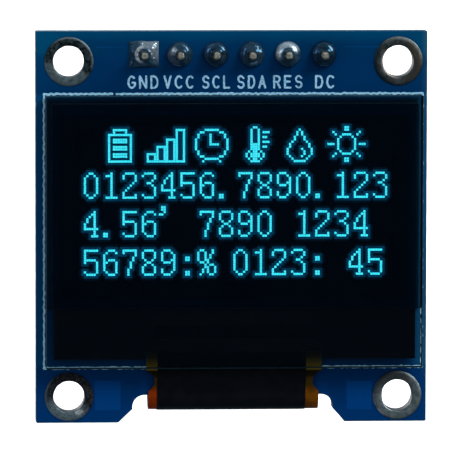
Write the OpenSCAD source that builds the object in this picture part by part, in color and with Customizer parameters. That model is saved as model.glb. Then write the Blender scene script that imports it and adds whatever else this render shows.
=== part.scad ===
// Small graphic display module: a glass panel on a square board with four
// screw holes and a six-way pin header.
// X is to the right and Z is up as the screen is read. The screen faces -Y.
// The origin is the centre of the four screw holes on the board's back face.

/* [Board] */
// Width of the board
board_w = 27.65; // [27.55:0.05:29]
// Height of the board
board_h = 27.7; // [27.65:0.05:29]
// Thickness of the board
board_t = 1.6; // [1.2:0.1:1.6]
// Sideways distance of the board's centre from the hole pattern's centre
board_dx = -0.14; // [-0.2:0.02:0.1]
// Upward distance of the board's centre from the hole pattern's centre
board_dz = 0.14; // [0:0.02:0.16]
// Width of the notch that the flexible tail passes through
notch_w = 14.2; // [13.6:0.1:14.6]
// Depth of the notch
notch_d = 1.95; // [1.6:0.05:2.1]
// Radius of the notch's inner corners
notch_r = 0.85; // [0.5:0.05:1]
// Width of the left chamfer at the notch's mouth
mouth_l = 1.0; // [0.6:0.05:1.1]
// Width of the right chamfer at the notch's mouth
mouth_r = 0.85; // [0.6:0.05:1.1]
// Height of both chamfers at the notch's mouth
mouth_h = 0.95; // [0.6:0.05:1.05]

/* [Screw holes] */
// Distance between hole centres from side to side
hole_dx = 23.25; // [23.1:0.05:23.5]
// Distance between hole centres up and down
hole_dz = 23.7; // [23.6:0.05:23.8]
// Diameter of each plated hole
hole_d = 2.2; // [2:0.1:2.4]
// Outer diameter of the tinned ring round each hole
ring_d = 3.5; // [3:0.05:3.5]
// Wall thickness of the plating, tin included
plate_t = 0.05; // [0.03:0.01:0.08]

/* [Pin header] */
// Number of pins is fixed at six; distance between neighbouring pins
pin_pitch = 2.54; // [2.5:0.02:2.56]
// Height of the pads above the hole pattern's centre
pad_z = 12.36; // [12.3:0.02:12.4]
// Distance of the pins below their pads' centres
pin_drop = 0.06; // [0:0.01:0.08]
// Width across the square pins
pin_w = 0.64; // [0.6:0.02:0.66]
// Overall length of a pin
pin_len = 11.6; // [11:0.1:12.2]
// Length of pin in front of the plastic strip, through the board
pin_tail = 3.1; // [2.8:0.1:3.2]
// Depth of the plastic strip behind the board
strip_d = 2.54; // [2.4:0.02:2.6]
// Diameter of the solder on each round pad
joint_d = 1.85; // [1.7:0.05:1.9]
// Height of the solder above the board's front
joint_h = 0.85; // [0.6:0.05:1.1]
// Width of the first pin's square pad
pad1_w = 2.1; // [1.9:0.05:2.2]

/* [Display panel] */
// Width of both glasses
glass_w = 26.6; // [26.5:0.1:26.8]
// Height of the front glass, ledge included
glass_h = 19.26; // [19.1:0.02:19.3]
// Height of the cap glass
cap_h = 15.1; // [14.9:0.1:15.2]
// Thickness of the front glass
glass_t = 0.7; // [0.5:0.05:0.8]
// Thickness of the cap glass
cap_t = 0.5; // [0.45:0.05:0.6]
// Depth of the cavity in the cap glass
cavity_d = 0.25; // [0.2:0.01:0.28]
// Thickness of the seal and of the emitting layer
emit_t = 0.05; // [0.04:0.01:0.06]
// Width of the polariser
polar_w = 25.88; // [25.5:0.02:26]
// Height of the polariser
polar_h = 14.5; // [14.3:0.1:14.6]
// Thickness of the polariser
polar_t = 0.2; // [0.15:0.05:0.25]
// Width of the lit area
active_w = 21.744; // [21.7:0.001:21.8]
// Height of the lit area
active_h = 10.864; // [10.8:0.001:10.9]
// Thickness of the foam tape under the panel
tape_t = 0.2; // [0.15:0.05:0.3]

/* [Flexible tail] */
// Width of the amber film where it joins the glass
film_w = 12.4; // [12.2:0.1:12.5]
// Width of the amber film below its waist
tail_w = 12.05; // [11.8:0.05:12.2]
// Thickness of the amber film
film_t = 0.1; // [0.08:0.01:0.12]
// Width of the black cover layer on the film
cover_w = 10.5; // [10:0.05:10.8]
// Thickness of the black cover layer
cover_t = 0.05; // [0.04:0.01:0.06]
// Radius of the cut-outs in the film's sides
waist_r = 0.76; // [0.6:0.02:0.8]
// Number of soldered contacts at the film's end
contacts = 15; // [11:2:15]

/* [Hidden] */
$fn = 64;

front = -board_t;                     // the board's front face
pin_z = pad_z - pin_drop;
left = board_dx - board_w / 2;
right = board_dx + board_w / 2;
bottom = board_dz - board_h / 2;
top = board_dz + board_h / 2;

// Notch, from side to side, off the hole pattern's centre
notch_x = -0.05;
notch_l = notch_x - notch_w / 2;
notch_rt = notch_x + notch_w / 2;
notch_z = bottom + notch_d;

// Panel, in a stack from the board's front outwards
panel_x = 0;
panel_bottom = -9.76;
panel_top = panel_bottom + glass_h;
cap_back = front - tape_t;
cap_front = cap_back - cap_t;
glass_back = cap_front - emit_t;
glass_front = glass_back - glass_t;
cap_bottom = panel_top - cap_h;
active_x = 0.1;
active_z = 1.88;
polar_x = 0.03;
polar_z = 1.75;

// Black sealing compound behind the ledge
pot_l = -12.75;
pot_r = 12.83;
pot_z = -9.18;
pot_t = 0.42;

// Driver chip on the back of the ledge
chip_w = 11.4;
chip_h = 0.9;
chip_t = 0.3;
chip_z = -7.2;

// Tail, its middle line in the Y-Z plane, from the ledge round to the back
film_x = 0;
cover_x = -0.15;
tail_top = -8.66;
waist_z = -10.75;
tail_end = -7.2;
y_glass = glass_back + cover_t + film_t / 2;
y_front = front - 0.11 - film_t / 2;
y_back = 0.11 + film_t / 2;
y_pads = 0.05 + film_t / 2;
bend_r = (y_back - y_front) / 2;
bend_y = (y_back + y_front) / 2;
bend_z = notch_z - 0.08;
leave_z = -9.86;
meet_z = -11.7;

function smooth(t) = t * t * (3 - 2 * t);
// Points and outward normals of the middle line, as [y, z, ny, nz]
slope_n = 12;
bend_n = 24;
run_in = [[y_glass, tail_top, -1, 0]];
run_down = [for (i = [0:slope_n])
    let (t = i / slope_n, z = leave_z + (meet_z - leave_z) * t,
         y = y_glass + (y_front - y_glass) * smooth(t),
         d = (y_front - y_glass) * 6 * t * (1 - t) / (meet_z - leave_z),
         s = sqrt(1 + d * d))
    [y, z, -1 / s, d / s]];
run_bend = [for (i = [0:bend_n])
    let (a = 180 * i / bend_n)
    [bend_y - bend_r * cos(a), bend_z - bend_r * sin(a), -cos(a), -sin(a)]];
run_back = [for (i = [1:slope_n])
    let (t = i / slope_n, z = bend_z + (1.2) * t,
         y = y_back + (y_pads - y_back) * smooth(t),
         d = (y_pads - y_back) * 6 * t * (1 - t) / 1.2,
         s = sqrt(1 + d * d))
    [y, z, 1 / s, -d / s]];
run_out = [[y_pads, tail_end, 1, 0]];
tail_path = concat(run_in, run_down, run_bend, run_back, run_out);
cover_path = concat(run_in, run_down, run_bend, run_back,
                    [[y_pads, tail_end - 1.6, 1, 0]]);
function side(path, off) = [for (p = path) [p[0] + p[2] * off, p[1] + p[3] * off]];
function turned(list) = [for (i = [len(list) - 1:-1:0]) list[i]];

// Small parts on the board's back: [x, z, turn], sizes [length, width, height]
chip_size = [1.6, 0.8];
cap_size_y = 0.8;
res_size_y = 0.45;
pad_t = 0.05;
cap_at = [[-8.9, 2.9, 0], [-8.9, 9.3, 0], [-5.2, -4.2, 90], [-2.7, -4.2, 90],
          [2.5, -4.2, 90], [5.0, -4.2, 90], [-5.0, 7.6, 90]];
res_at = [[8.6, 8.4, 0], [8.6, 6.7, 0], [8.6, 5.0, 0], [8.6, 3.3, 0],
          [3.4, 7.6, 90], [1.2, 7.6, 90], [7.5, -4.2, 90]];
reg_at = [-8.9, 6.1];
dio_at = [-1.9, 7.6];

// A flat shape, drawn as it is read, made solid between two depths
module slab(y0, y1) {
    translate([0, y1, 0]) rotate([90, 0, 0]) linear_extrude(height = y1 - y0) children();
}
// A rectangle given by its edges
module rect(x0, x1, z0, z1) {
    translate([x0, z0]) square([x1 - x0, z1 - z0]);
}
// A drill along the Y axis
module drill(x, z, d, y0, y1) {
    translate([x, y1, z]) rotate([90, 0, 0]) cylinder(h = y1 - y0, d = d);
}
// A flat outline in depth and height, made solid across the X axis
module across(x0, x1) {
    translate([x0, 0, 0]) rotate([90, 0, 90]) linear_extrude(height = x1 - x0) children();
}

module notch_shape() {
    rect(notch_l + notch_r, notch_rt - notch_r, bottom - 1, notch_z);
    rect(notch_l, notch_rt, bottom - 1, notch_z - notch_r);
    translate([notch_l + notch_r, notch_z - notch_r]) circle(r = notch_r);
    translate([notch_rt - notch_r, notch_z - notch_r]) circle(r = notch_r);
    polygon([[notch_l - mouth_l * 2, bottom - mouth_h],
             [notch_l, bottom + mouth_h],
             [notch_rt, bottom + mouth_h],
             [notch_rt + mouth_r * 2, bottom - mouth_h]]);
}

module pcb() {
    color([0.01, 0.16, 0.34])
    difference() {
        slab(front, 0) difference() {
            rect(left, right, bottom, top);
            notch_shape();
        }
        for (sx = [-1, 1], sz = [-1, 1])
            drill(sx * hole_dx / 2, sz * hole_dz / 2, hole_d + 2 * plate_t, front - 1, 1);
        for (i = [0:5])
            drill((i - 2.5) * pin_pitch, pad_z, 1.1, front - 1, 1);
    }
}

// One screw hole's plating: a tinned barrel with a ring on each face
module plating(sx, sz) {
    color([0.45, 0.48, 0.5])
    difference() {
        union() {
            drill(sx * hole_dx / 2, sz * hole_dz / 2, hole_d + 2 * plate_t, front, 0);
            drill(sx * hole_dx / 2, sz * hole_dz / 2, ring_d, front - plate_t, front);
            drill(sx * hole_dx / 2, sz * hole_dz / 2, ring_d, 0, plate_t);
        }
        drill(sx * hole_dx / 2, sz * hole_dz / 2, hole_d, front - 1, 1);
    }
}
module hole_plating_top_left() { plating(-1, 1); }
module hole_plating_top_right() { plating(1, 1); }
module hole_plating_bottom_left() { plating(-1, -1); }
module hole_plating_bottom_right() { plating(1, -1); }

// Black moulded strip, waisted between its pins
module header_strip() {
    h = 1.25;
    n = 0.95;
    color([0.03, 0.03, 0.035])
    difference() {
        slab(0, strip_d) for (i = [0:5])
            translate([(i - 2.5) * pin_pitch, pin_z])
                polygon([[-pin_pitch / 2, -n], [-0.77, -h], [0.77, -h], [pin_pitch / 2, -n],
                         [pin_pitch / 2, n], [0.77, h], [-0.77, h], [-pin_pitch / 2, n]]);
        for (i = [0:5])
            translate([(i - 2.5) * pin_pitch - pin_w / 2, -1, pin_z - pin_w / 2])
                cube([pin_w, strip_d + 2, pin_w]);
    }
}

// Square pin with chamfered ends
module pin(i) {
    w = pin_w / 2;
    y0 = front - (pin_tail - board_t);
    y1 = y0 + pin_len;
    c = 0.17;
    l = 0.35;
    color([0.78, 0.7, 0.45])
    translate([(i - 3.5) * pin_pitch, 0, pin_z])
    intersection() {
        across(-w, w)
            polygon([[y0, -w + c], [y0 + l, -w], [y1 - l, -w], [y1, -w + c],
                     [y1, w - c], [y1 - l, w], [y0 + l, w], [y0, w - c]]);
        translate([0, 0, -w]) linear_extrude(height = 2 * w)
            polygon([[-w + c, y0], [-w, y0 + l], [-w, y1 - l], [-w + c, y1],
                     [w - c, y1], [w, y1 - l], [w, y0 + l], [w - c, y0]]);
    }
}
module header_pin_1() { pin(1); }
module header_pin_2() { pin(2); }
module header_pin_3() { pin(3); }
module header_pin_4() { pin(4); }
module header_pin_5() { pin(5); }
module header_pin_6() { pin(6); }

// Solder round a pin: a dome in front of the board and the fill of its hole
module solder_joint(i) {
    n = 10;
    r0 = joint_d / 2;
    r1 = 0.53;
    f1 = r1 / r0;
    dome = [for (k = [0:n]) let (f = f1 + (1 - f1) * cos(90 * k / n))
        [r0 * f, joint_h * pow((1 - pow(f, 4)) / (1 - pow(f1, 4)), 0.56)]];
    color([0.62, 0.64, 0.66])
    translate([(i - 3.5) * pin_pitch, front, pad_z])
    difference() {
        union() {
            rotate([90, 0, 0]) rotate_extrude()
                polygon(concat([[0, -board_t], [0.55, -board_t], [0.55, 0]], dome, [[0, joint_h]]));
            if (i == 1)
                translate([-pad1_w / 2, -0.12, -joint_d / 2]) cube([pad1_w, 0.12, joint_d]);
        }
        translate([-pin_w / 2, -5, -pin_drop - pin_w / 2]) cube([pin_w, 10, pin_w]);
    }
}
module solder_joint_1() { solder_joint(1); }
module solder_joint_2() { solder_joint(2); }
module solder_joint_3() { solder_joint(3); }
module solder_joint_4() { solder_joint(4); }
module solder_joint_5() { solder_joint(5); }
module solder_joint_6() { solder_joint(6); }

// Printed line round the panel
module silkscreen() {
    x0 = -13.39; x1 = 13.35; z0 = -9.82; z1 = 9.57; w = 0.1;
    color([0.6, 0.72, 0.78])
    slab(front - 0.02, front) difference() {
        rect(x0 - w, x1 + w, z0 - w, z1 + w);
        rect(x0 + w, x1 - w, z0 + w, z1 - w);
        rect(film_x - film_w / 2, film_x + film_w / 2, z0 - 1, z0 + 1);
    }
}

// Panel, front to back
module display_polarizer() {
    color([0.02, 0.05, 0.08])
    slab(glass_front - polar_t, glass_front)
        rect(polar_x - polar_w / 2, polar_x + polar_w / 2, polar_z - polar_h / 2, polar_z + polar_h / 2);
}
module display_glass() {
    color([0.6, 0.7, 0.75, 0.4])
    slab(glass_front, glass_back)
        rect(panel_x - glass_w / 2, panel_x + glass_w / 2, panel_bottom, panel_top);
}
module display_emitter() {
    color([0.1, 0.9, 0.95])
    slab(glass_back, cap_front)
        rect(active_x - active_w / 2 - 0.2, active_x + active_w / 2 + 0.2,
             active_z - active_h / 2 - 0.2, active_z + active_h / 2 + 0.2);
}
module display_seal() {
    color([0.5, 0.5, 0.45])
    slab(glass_back, cap_front) difference() {
        rect(panel_x - glass_w / 2, panel_x + glass_w / 2, cap_bottom, panel_top);
        rect(panel_x - 12.2, panel_x + 12.4, cap_bottom + 1.0, panel_top - 1.1);
    }
}
module display_cap_glass() {
    color([0.55, 0.65, 0.7, 0.4])
    difference() {
        slab(cap_front, cap_back)
            rect(panel_x - glass_w / 2, panel_x + glass_w / 2, cap_bottom, panel_top);
        slab(cap_front - 1, cap_front + cavity_d)
            rect(panel_x - 11.9, panel_x + 12.1, cap_bottom + 1.3, panel_top - 1.4);
    }
}
module desiccant_sheet() {
    color([0.9, 0.9, 0.85])
    slab(cap_front + cavity_d - 0.12, cap_front + cavity_d)
        rect(panel_x - 9, panel_x + 9, active_z - 4, active_z + 4);
}
module driver_chip() {
    color([0.1, 0.1, 0.12])
    slab(glass_back, glass_back + chip_t)
        rect(panel_x - chip_w / 2, panel_x + chip_w / 2, chip_z - chip_h / 2, chip_z + chip_h / 2);
}
module ledge_potting() {
    color([0.02, 0.02, 0.025])
    difference() {
        slab(glass_back, glass_back + pot_t) difference() {
            rect(pot_l, pot_r, pot_z, cap_bottom);
            rect(film_x - film_w / 2 - 0.1, film_x + film_w / 2 + 0.1, pot_z - 1, tail_top);
        }
        slab(glass_back - 1, glass_back + chip_t)
            rect(panel_x - chip_w / 2, panel_x + chip_w / 2, chip_z - chip_h / 2, chip_z + chip_h / 2);
    }
}
module foam_tape() {
    color([0.05, 0.05, 0.05])
    slab(cap_back, front)
        rect(panel_x - 12.3, panel_x + 12.4, cap_bottom + 0.6, panel_top - 1.4);
}

// Amber film from the ledge round the notch to the pads on the back
module flex_tail() {
    color([0.75, 0.42, 0.08])
    difference() {
        across(film_x - film_w / 2, film_x + film_w / 2)
            polygon(concat(side(tail_path, film_t / 2), turned(side(tail_path, -film_t / 2))));
        for (s = [-1, 1]) {
            drill(film_x + s * (film_w / 2 + 0.15), waist_z, 2 * waist_r, front - 3, bend_y);
            translate([film_x + s * (tail_w / 2 + 1), 0, waist_z]) {
                translate([-1, front - 3, -8]) cube([2, 10, 8]);
                translate([-1, bend_y, -8]) cube([2, 10, 20]);
            }
        }
    }
}
module flex_cover() {
    color([0.02, 0.02, 0.03])
    across(cover_x - cover_w / 2, cover_x + cover_w / 2)
        polygon(concat(side(cover_path, film_t / 2 + cover_t), turned(side(cover_path, film_t / 2))));
}
// Pads and solder of the tail's contacts
module tail_solder() {
    color([0.68, 0.7, 0.72])
    for (i = [0:contacts - 1])
        translate([film_x + (i - (contacts - 1) / 2) * 0.7, 0, 0]) {
            slab(0, pad_t) rect(-0.18, 0.18, tail_end - 1.1, tail_end + 0.75);
            slab(pad_t, pad_t + 0.14) rect(-0.18, 0.18, tail_end, tail_end + 0.6);
        }
}

// Chip part with a terminal at each end
module chip_part(at, h) {
    l = chip_size[0];
    w = chip_size[1];
    translate([at[0], pad_t, at[1]]) rotate([0, at[2], 0]) {
        translate([-l / 2 + 0.3, 0.02, -w / 2 + 0.02]) cube([l - 0.6, h - 0.04, w - 0.04]);
        for (s = [-1, 1])
            translate([s * (l / 2 - 0.175) - 0.175, 0, -w / 2]) cube([0.35, h, w]);
    }
}
module capacitor(i) { color([0.62, 0.5, 0.38]) chip_part(cap_at[i - 1], cap_size_y); }
module resistor(i) { color([0.06, 0.06, 0.07]) chip_part(res_at[i - 1], res_size_y); }
module capacitor_1() { capacitor(1); }
module capacitor_2() { capacitor(2); }
module capacitor_3() { capacitor(3); }
module capacitor_4() { capacitor(4); }
module capacitor_5() { capacitor(5); }
module capacitor_6() { capacitor(6); }
module capacitor_7() { capacitor(7); }
module resistor_1() { resistor(1); }
module resistor_2() { resistor(2); }
module resistor_3() { resistor(3); }
module resistor_4() { resistor(4); }
module resistor_5() { resistor(5); }
module resistor_6() { resistor(6); }
module resistor_7() { resistor(7); }

// Gull-wing lead: foot on the pad, riser and shoulder into the body
module lead(w) {
    across(-w / 2, w / 2)
        polygon([[pad_t, 0.8], [pad_t + 0.12, 0.8], [pad_t + 0.12, 0.5], [pad_t + 0.62, 0.32],
                 [pad_t + 0.62, 0], [pad_t + 0.5, 0], [pad_t + 0.5, 0.24], [pad_t, 0.42]]);
}
// Three-leg regulator: one wide body, one leg above and two below
module regulator() {
    color([0.08, 0.08, 0.09])
    translate([reg_at[0], 0, reg_at[1]]) {
        across(-1.45, 1.45)
            polygon([[pad_t + 0.06, -0.58], [pad_t + 0.5, -0.66], [pad_t + 1.05, -0.58],
                     [pad_t + 1.05, 0.58], [pad_t + 0.5, 0.66], [pad_t + 0.06, 0.58]]);
        translate([0, 0, 0.5]) lead(0.4);
        for (s = [-1, 1])
            translate([s * 0.95, 0, -0.5]) mirror([0, 0, 1]) lead(0.4);
    }
}
// Two-leg diode
module diode() {
    color([0.08, 0.08, 0.09])
    translate([dio_at[0], 0, dio_at[1]]) {
        across(-0.65, 0.65)
            polygon([[pad_t + 0.06, -0.82], [pad_t + 0.5, -0.9], [pad_t + 0.95, -0.82],
                     [pad_t + 0.95, 0.82], [pad_t + 0.5, 0.9], [pad_t + 0.06, 0.82]]);
        translate([0, 0, 0.72]) lead(0.5);
        translate([0, 0, -0.72]) mirror([0, 0, 1]) lead(0.5);
    }
}

// Tinned pads with their solder on the board's back
module pad(w, l) { slab(0, pad_t) rect(-w / 2, w / 2, -l / 2, l / 2); }
module smd_solder() {
    color([0.68, 0.7, 0.72]) {
        for (at = concat(cap_at, res_at))
            translate([at[0], 0, at[1]]) rotate([0, at[2], 0])
                for (s = [-1, 1]) translate([s * 0.85, 0, 0]) pad(0.8, 0.9);
        translate([reg_at[0], 0, reg_at[1]]) {
            translate([0, 0, 1.2]) pad(0.7, 0.9);
            for (s = [-1, 1]) translate([s * 0.95, 0, -1.2]) pad(0.7, 0.9);
        }
        translate([dio_at[0], 0, dio_at[1]])
            for (s = [-1, 1]) translate([0, 0, s * 1.35]) pad(0.8, 0.8);
    }
}

pcb();
hole_plating_top_left();
hole_plating_top_right();
hole_plating_bottom_left();
hole_plating_bottom_right();
header_strip();
header_pin_1();
header_pin_2();
header_pin_3();
header_pin_4();
header_pin_5();
header_pin_6();
solder_joint_1();
solder_joint_2();
solder_joint_3();
solder_joint_4();
solder_joint_5();
solder_joint_6();
silkscreen();
display_glass();
display_cap_glass();
display_polarizer();
display_emitter();
display_seal();
desiccant_sheet();
driver_chip();
ledge_potting();
foam_tape();
flex_tail();
flex_cover();
tail_solder();
regulator();
diode();
capacitor_1();
capacitor_2();
capacitor_3();
capacitor_4();
capacitor_5();
capacitor_6();
capacitor_7();
resistor_1();
resistor_2();
resistor_3();
resistor_4();
resistor_5();
resistor_6();
resistor_7();
smd_solder();
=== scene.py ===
import math
import random

import bmesh
import bpy
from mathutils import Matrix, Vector, noise
from mathutils.geometry import tessellate_polygon


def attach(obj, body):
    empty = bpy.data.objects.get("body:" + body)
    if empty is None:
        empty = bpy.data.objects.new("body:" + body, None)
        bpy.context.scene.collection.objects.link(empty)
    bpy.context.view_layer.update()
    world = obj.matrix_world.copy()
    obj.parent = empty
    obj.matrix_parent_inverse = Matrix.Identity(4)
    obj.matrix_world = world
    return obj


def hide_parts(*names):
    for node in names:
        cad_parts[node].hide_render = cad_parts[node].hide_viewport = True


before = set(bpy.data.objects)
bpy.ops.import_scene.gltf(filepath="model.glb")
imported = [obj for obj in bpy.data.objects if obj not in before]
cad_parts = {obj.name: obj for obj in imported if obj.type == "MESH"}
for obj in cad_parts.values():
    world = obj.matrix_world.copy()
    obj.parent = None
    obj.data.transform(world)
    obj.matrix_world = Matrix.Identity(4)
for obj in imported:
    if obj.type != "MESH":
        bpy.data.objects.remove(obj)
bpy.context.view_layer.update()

MM = 0.001
scene = bpy.context.scene
scene.view_settings.view_transform = "Standard"
scene.view_settings.look = "None"
scene.cycles.transparent_max_bounces = 32


# ---------------------------------------------------------------- mesh tools
def n3(x, y, z=0.0):
    return noise.noise(Vector((x, y, z)))


class Shells:
    """Closed shells gathered into one piece. Lengths in millimetres."""

    def __init__(self):
        self.v, self.f, self.m, self.s = [], [], [], []

    def add(self, verts, faces, mat=0, smooth=False):
        n = len(self.v)
        self.v += [tuple(p) for p in verts]
        for k, f in enumerate(faces):
            self.f.append(tuple(i + n for i in f))
            self.m.append(mat[k] if isinstance(mat, list) else mat)
            self.s.append(smooth[k] if isinstance(smooth, list) else smooth)

    def build(self, name, mats, replaces=(), slot=None, auto_smooth=None):
        me = bpy.data.meshes.new(name)
        me.from_pydata([(x * MM, y * MM, z * MM) for x, y, z in self.v], [], self.f)
        for m in mats:
            me.materials.append(m)
        me.polygons.foreach_set("material_index", self.m)
        me.polygons.foreach_set("use_smooth", self.s)
        bm = bmesh.new()
        bm.from_mesh(me)
        bmesh.ops.recalc_face_normals(bm, faces=bm.faces)
        if auto_smooth:
            for e in bm.edges:
                if len(e.link_faces) == 2 and e.calc_face_angle(0) > math.radians(auto_smooth):
                    e.smooth = False
        bm.to_mesh(me)
        bm.free()
        ob = bpy.data.objects.new(name, me)
        scene.collection.objects.link(ob)
        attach(ob, "root")
        if replaces:
            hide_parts(*replaces)
        return ob


def area2(loop):
    return sum(loop[i - 1][0] * loop[i][1] - loop[i][0] * loop[i - 1][1] for i in range(len(loop)))


def inset(loop, b):
    """Moves a loop's points to the left of its direction by b."""
    out, n = [], len(loop)
    for i in range(n):
        p, q, r = loop[i - 1], loop[i], loop[(i + 1) % n]
        d1 = Vector((q[0] - p[0], q[1] - p[1]))
        d2 = Vector((r[0] - q[0], r[1] - q[1]))
        d1 = d1.normalized() if d1.length > 1e-9 else d2.normalized()
        d2 = d2.normalized() if d2.length > 1e-9 else d1
        n1, n2 = Vector((-d1.y, d1.x)), Vector((-d2.y, d2.x))
        k = max(0.35, 1 + n1.dot(n2))
        o = (n1 + n2) / k * b
        out.append((q[0] + o.x, q[1] + o.y))
    return out


def plate(sh, loops, y0, y1, bevel=0.0, mats=(0, 0, 0), back_bevel=None, smooth_edge=False, steps=1):
    """A flat plate in X-Z between y0 (front) and y1 (back), its rims eased. mats: front, edge, back."""
    loops = [list(l) for l in loops]
    for i, l in enumerate(loops):
        if (area2(l) > 0) != (i == 0):
            l.reverse()
    bb = bevel if back_bevel is None else back_bevel
    rows = []
    if bevel > 0:
        for k in range(steps + 1):
            a = math.pi / 2 * k / steps if steps > 1 else (0 if k == 0 else math.pi / 2)
            rows.append((bevel * (1 - math.sin(a)), y0 + bevel * (1 - math.cos(a))))
    else:
        rows.append((0, y0))
    if bb > 0:
        for k in range(steps + 1):
            a = math.pi / 2 * k / steps if steps > 1 else (0 if k == 0 else math.pi / 2)
            rows.append((bb * (1 - math.cos(a)), y1 - bb * (1 - math.sin(a))))
    else:
        rows.append((0, y1))
    verts, starts = [], []
    for off, y in rows:
        starts.append(len(verts))
        for l in loops:
            pts = inset(l, off) if off > 0 else l
            verts += [(p[0], y, p[1]) for p in pts]
    faces, fm, fs = [], [], []
    cap0 = [[Vector((verts[starts[0] + j][0], verts[starts[0] + j][2], 0)) for j in rng] for rng in spans(loops)]
    for t in tessellate_polygon(cap0):
        faces.append(tuple(starts[0] + i for i in t)); fm.append(mats[0]); fs.append(False)
    last = starts[-1]
    cap1 = [[Vector((verts[last + j][0], verts[last + j][2], 0)) for j in rng] for rng in spans(loops)]
    for t in tessellate_polygon(cap1):
        faces.append(tuple(last + i for i in reversed(t))); fm.append(mats[2]); fs.append(False)
    for a, b in zip(starts, starts[1:]):
        for rng in spans(loops):
            r = list(rng)
            for i in range(len(r)):
                j = (i + 1) % len(r)
                faces.append((a + r[i], a + r[j], b + r[j], b + r[i]))
                fm.append(mats[1]); fs.append(smooth_edge)
    sh.add(verts, faces, fm, fs)


def spans(loops):
    n = 0
    for l in loops:
        yield range(n, n + len(l))
        n += len(l)


def circle(cx, cz, r, n=64, wob=0.0, seed=0):
    out = []
    for i in range(n):
        a = 2 * math.pi * i / n
        k = r + (wob * n3(math.cos(a) * 2.3 + seed, math.sin(a) * 2.3, seed * 1.7) if wob else 0)
        out.append((cx + k * math.cos(a), cz + k * math.sin(a)))
    return out


def rrect(x0, x1, z0, z1, r=0.05, n=4, step=0.0, wob=0.0, seed=0.0):
    """Rectangle with rounded corners; with step, its sides are divided and slightly uneven."""
    out = []
    for cx, cz, a0 in ((x1 - r, z1 - r, 0), (x0 + r, z1 - r, 90), (x0 + r, z0 + r, 180), (x1 - r, z0 + r, 270)):
        for k in range(n + 1):
            a = math.radians(a0 + 90 * k / n)
            out.append((cx + r * math.cos(a), cz + r * math.sin(a)))
    return divide(out, step, wob, seed) if step else out


def divide(loop, step, wob=0.0, seed=0.0, freq=3.0):
    out, n = [], len(loop)
    for i in range(n):
        p, q = loop[i], loop[(i + 1) % n]
        d = math.hypot(q[0] - p[0], q[1] - p[1])
        k = max(1, int(d / step))
        for j in range(k):
            t = j / k
            out.append((p[0] + (q[0] - p[0]) * t, p[1] + (q[1] - p[1]) * t))
    if wob:
        ins = inset(out, 1.0)
        res = []
        for p, q in zip(out, ins):
            d = abs(n3(p[0] * freq + seed, p[1] * freq, seed)) * wob + abs(n3(p[0] * freq * 3.1, p[1] * freq * 3.1, seed + 5)) * wob * 0.5
            res.append((p[0] + (q[0] - p[0]) * d, p[1] + (q[1] - p[1]) * d))
        out = res
    return out


def lathe(sh, cx, cz, prof, n=96, mat=0, wob=None):
    """Revolves a closed profile of (radius, y) about the line through (cx, cz)."""
    verts, faces, m = [], [], len(prof)
    for i in range(n):
        a = 2 * math.pi * i / n
        for k, (r, y) in enumerate(prof):
            dr, dy = wob(a, r, y, k) if wob else (0, 0)
            verts.append((cx + (r + dr) * math.cos(a), y + dy, cz + (r + dr) * math.sin(a)))
    fm = []
    for i in range(n):
        j = (i + 1) % n
        for k in range(m):
            l = (k + 1) % m
            faces.append((i * m + k, j * m + k, j * m + l, i * m + l))
            fm.append(mat[k] if isinstance(mat, (list, tuple)) else mat)
    sh.add(verts, faces, fm, True)


def rings(sh, loops3, mat=0, smooth=True, closed=False):
    """Skins a list of equal-length loops of 3-D points, with a cap at each end."""
    m, verts = len(loops3[0]), [p for l in loops3 for p in l]
    faces, fm = [], []
    for a in range(len(loops3) - 1):
        for i in range(m):
            j = (i + 1) % m
            faces.append((a * m + i, a * m + j, (a + 1) * m + j, (a + 1) * m + i))
            fm.append(mat)
    if not closed:
        faces.append(tuple(range(m - 1, -1, -1)))
        faces.append(tuple((len(loops3) - 1) * m + i for i in range(m)))
        fm += [mat, mat]
    sh.add(verts, faces, fm, smooth)


def block(sh, x0, x1, y0, y1, z0, z1, r=0.03, mat=0, steps=2):
    """A box with rounded edges, built as stacked rounded rectangles along Y."""
    loops3 = []
    n = 3
    for k in range(steps + 1):
        a = math.pi / 2 * k / steps
        o, y = r * (1 - math.sin(a)), y0 + r * (1 - math.cos(a))
        loops3.append([(x, y, z) for x, z in rrect(x0 + o, x1 - o, z0 + o, z1 - o, max(r - o, 0.002) + 0.004, n)])
    for k in range(steps + 1):
        a = math.pi / 2 * k / steps
        o, y = r * (1 - math.cos(a)), y1 - r * (1 - math.sin(a))
        loops3.append([(x, y, z) for x, z in rrect(x0 + o, x1 - o, z0 + o, z1 - o, max(r - o, 0.002) + 0.004, n)])
    rings(sh, loops3, mat, True)


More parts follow.
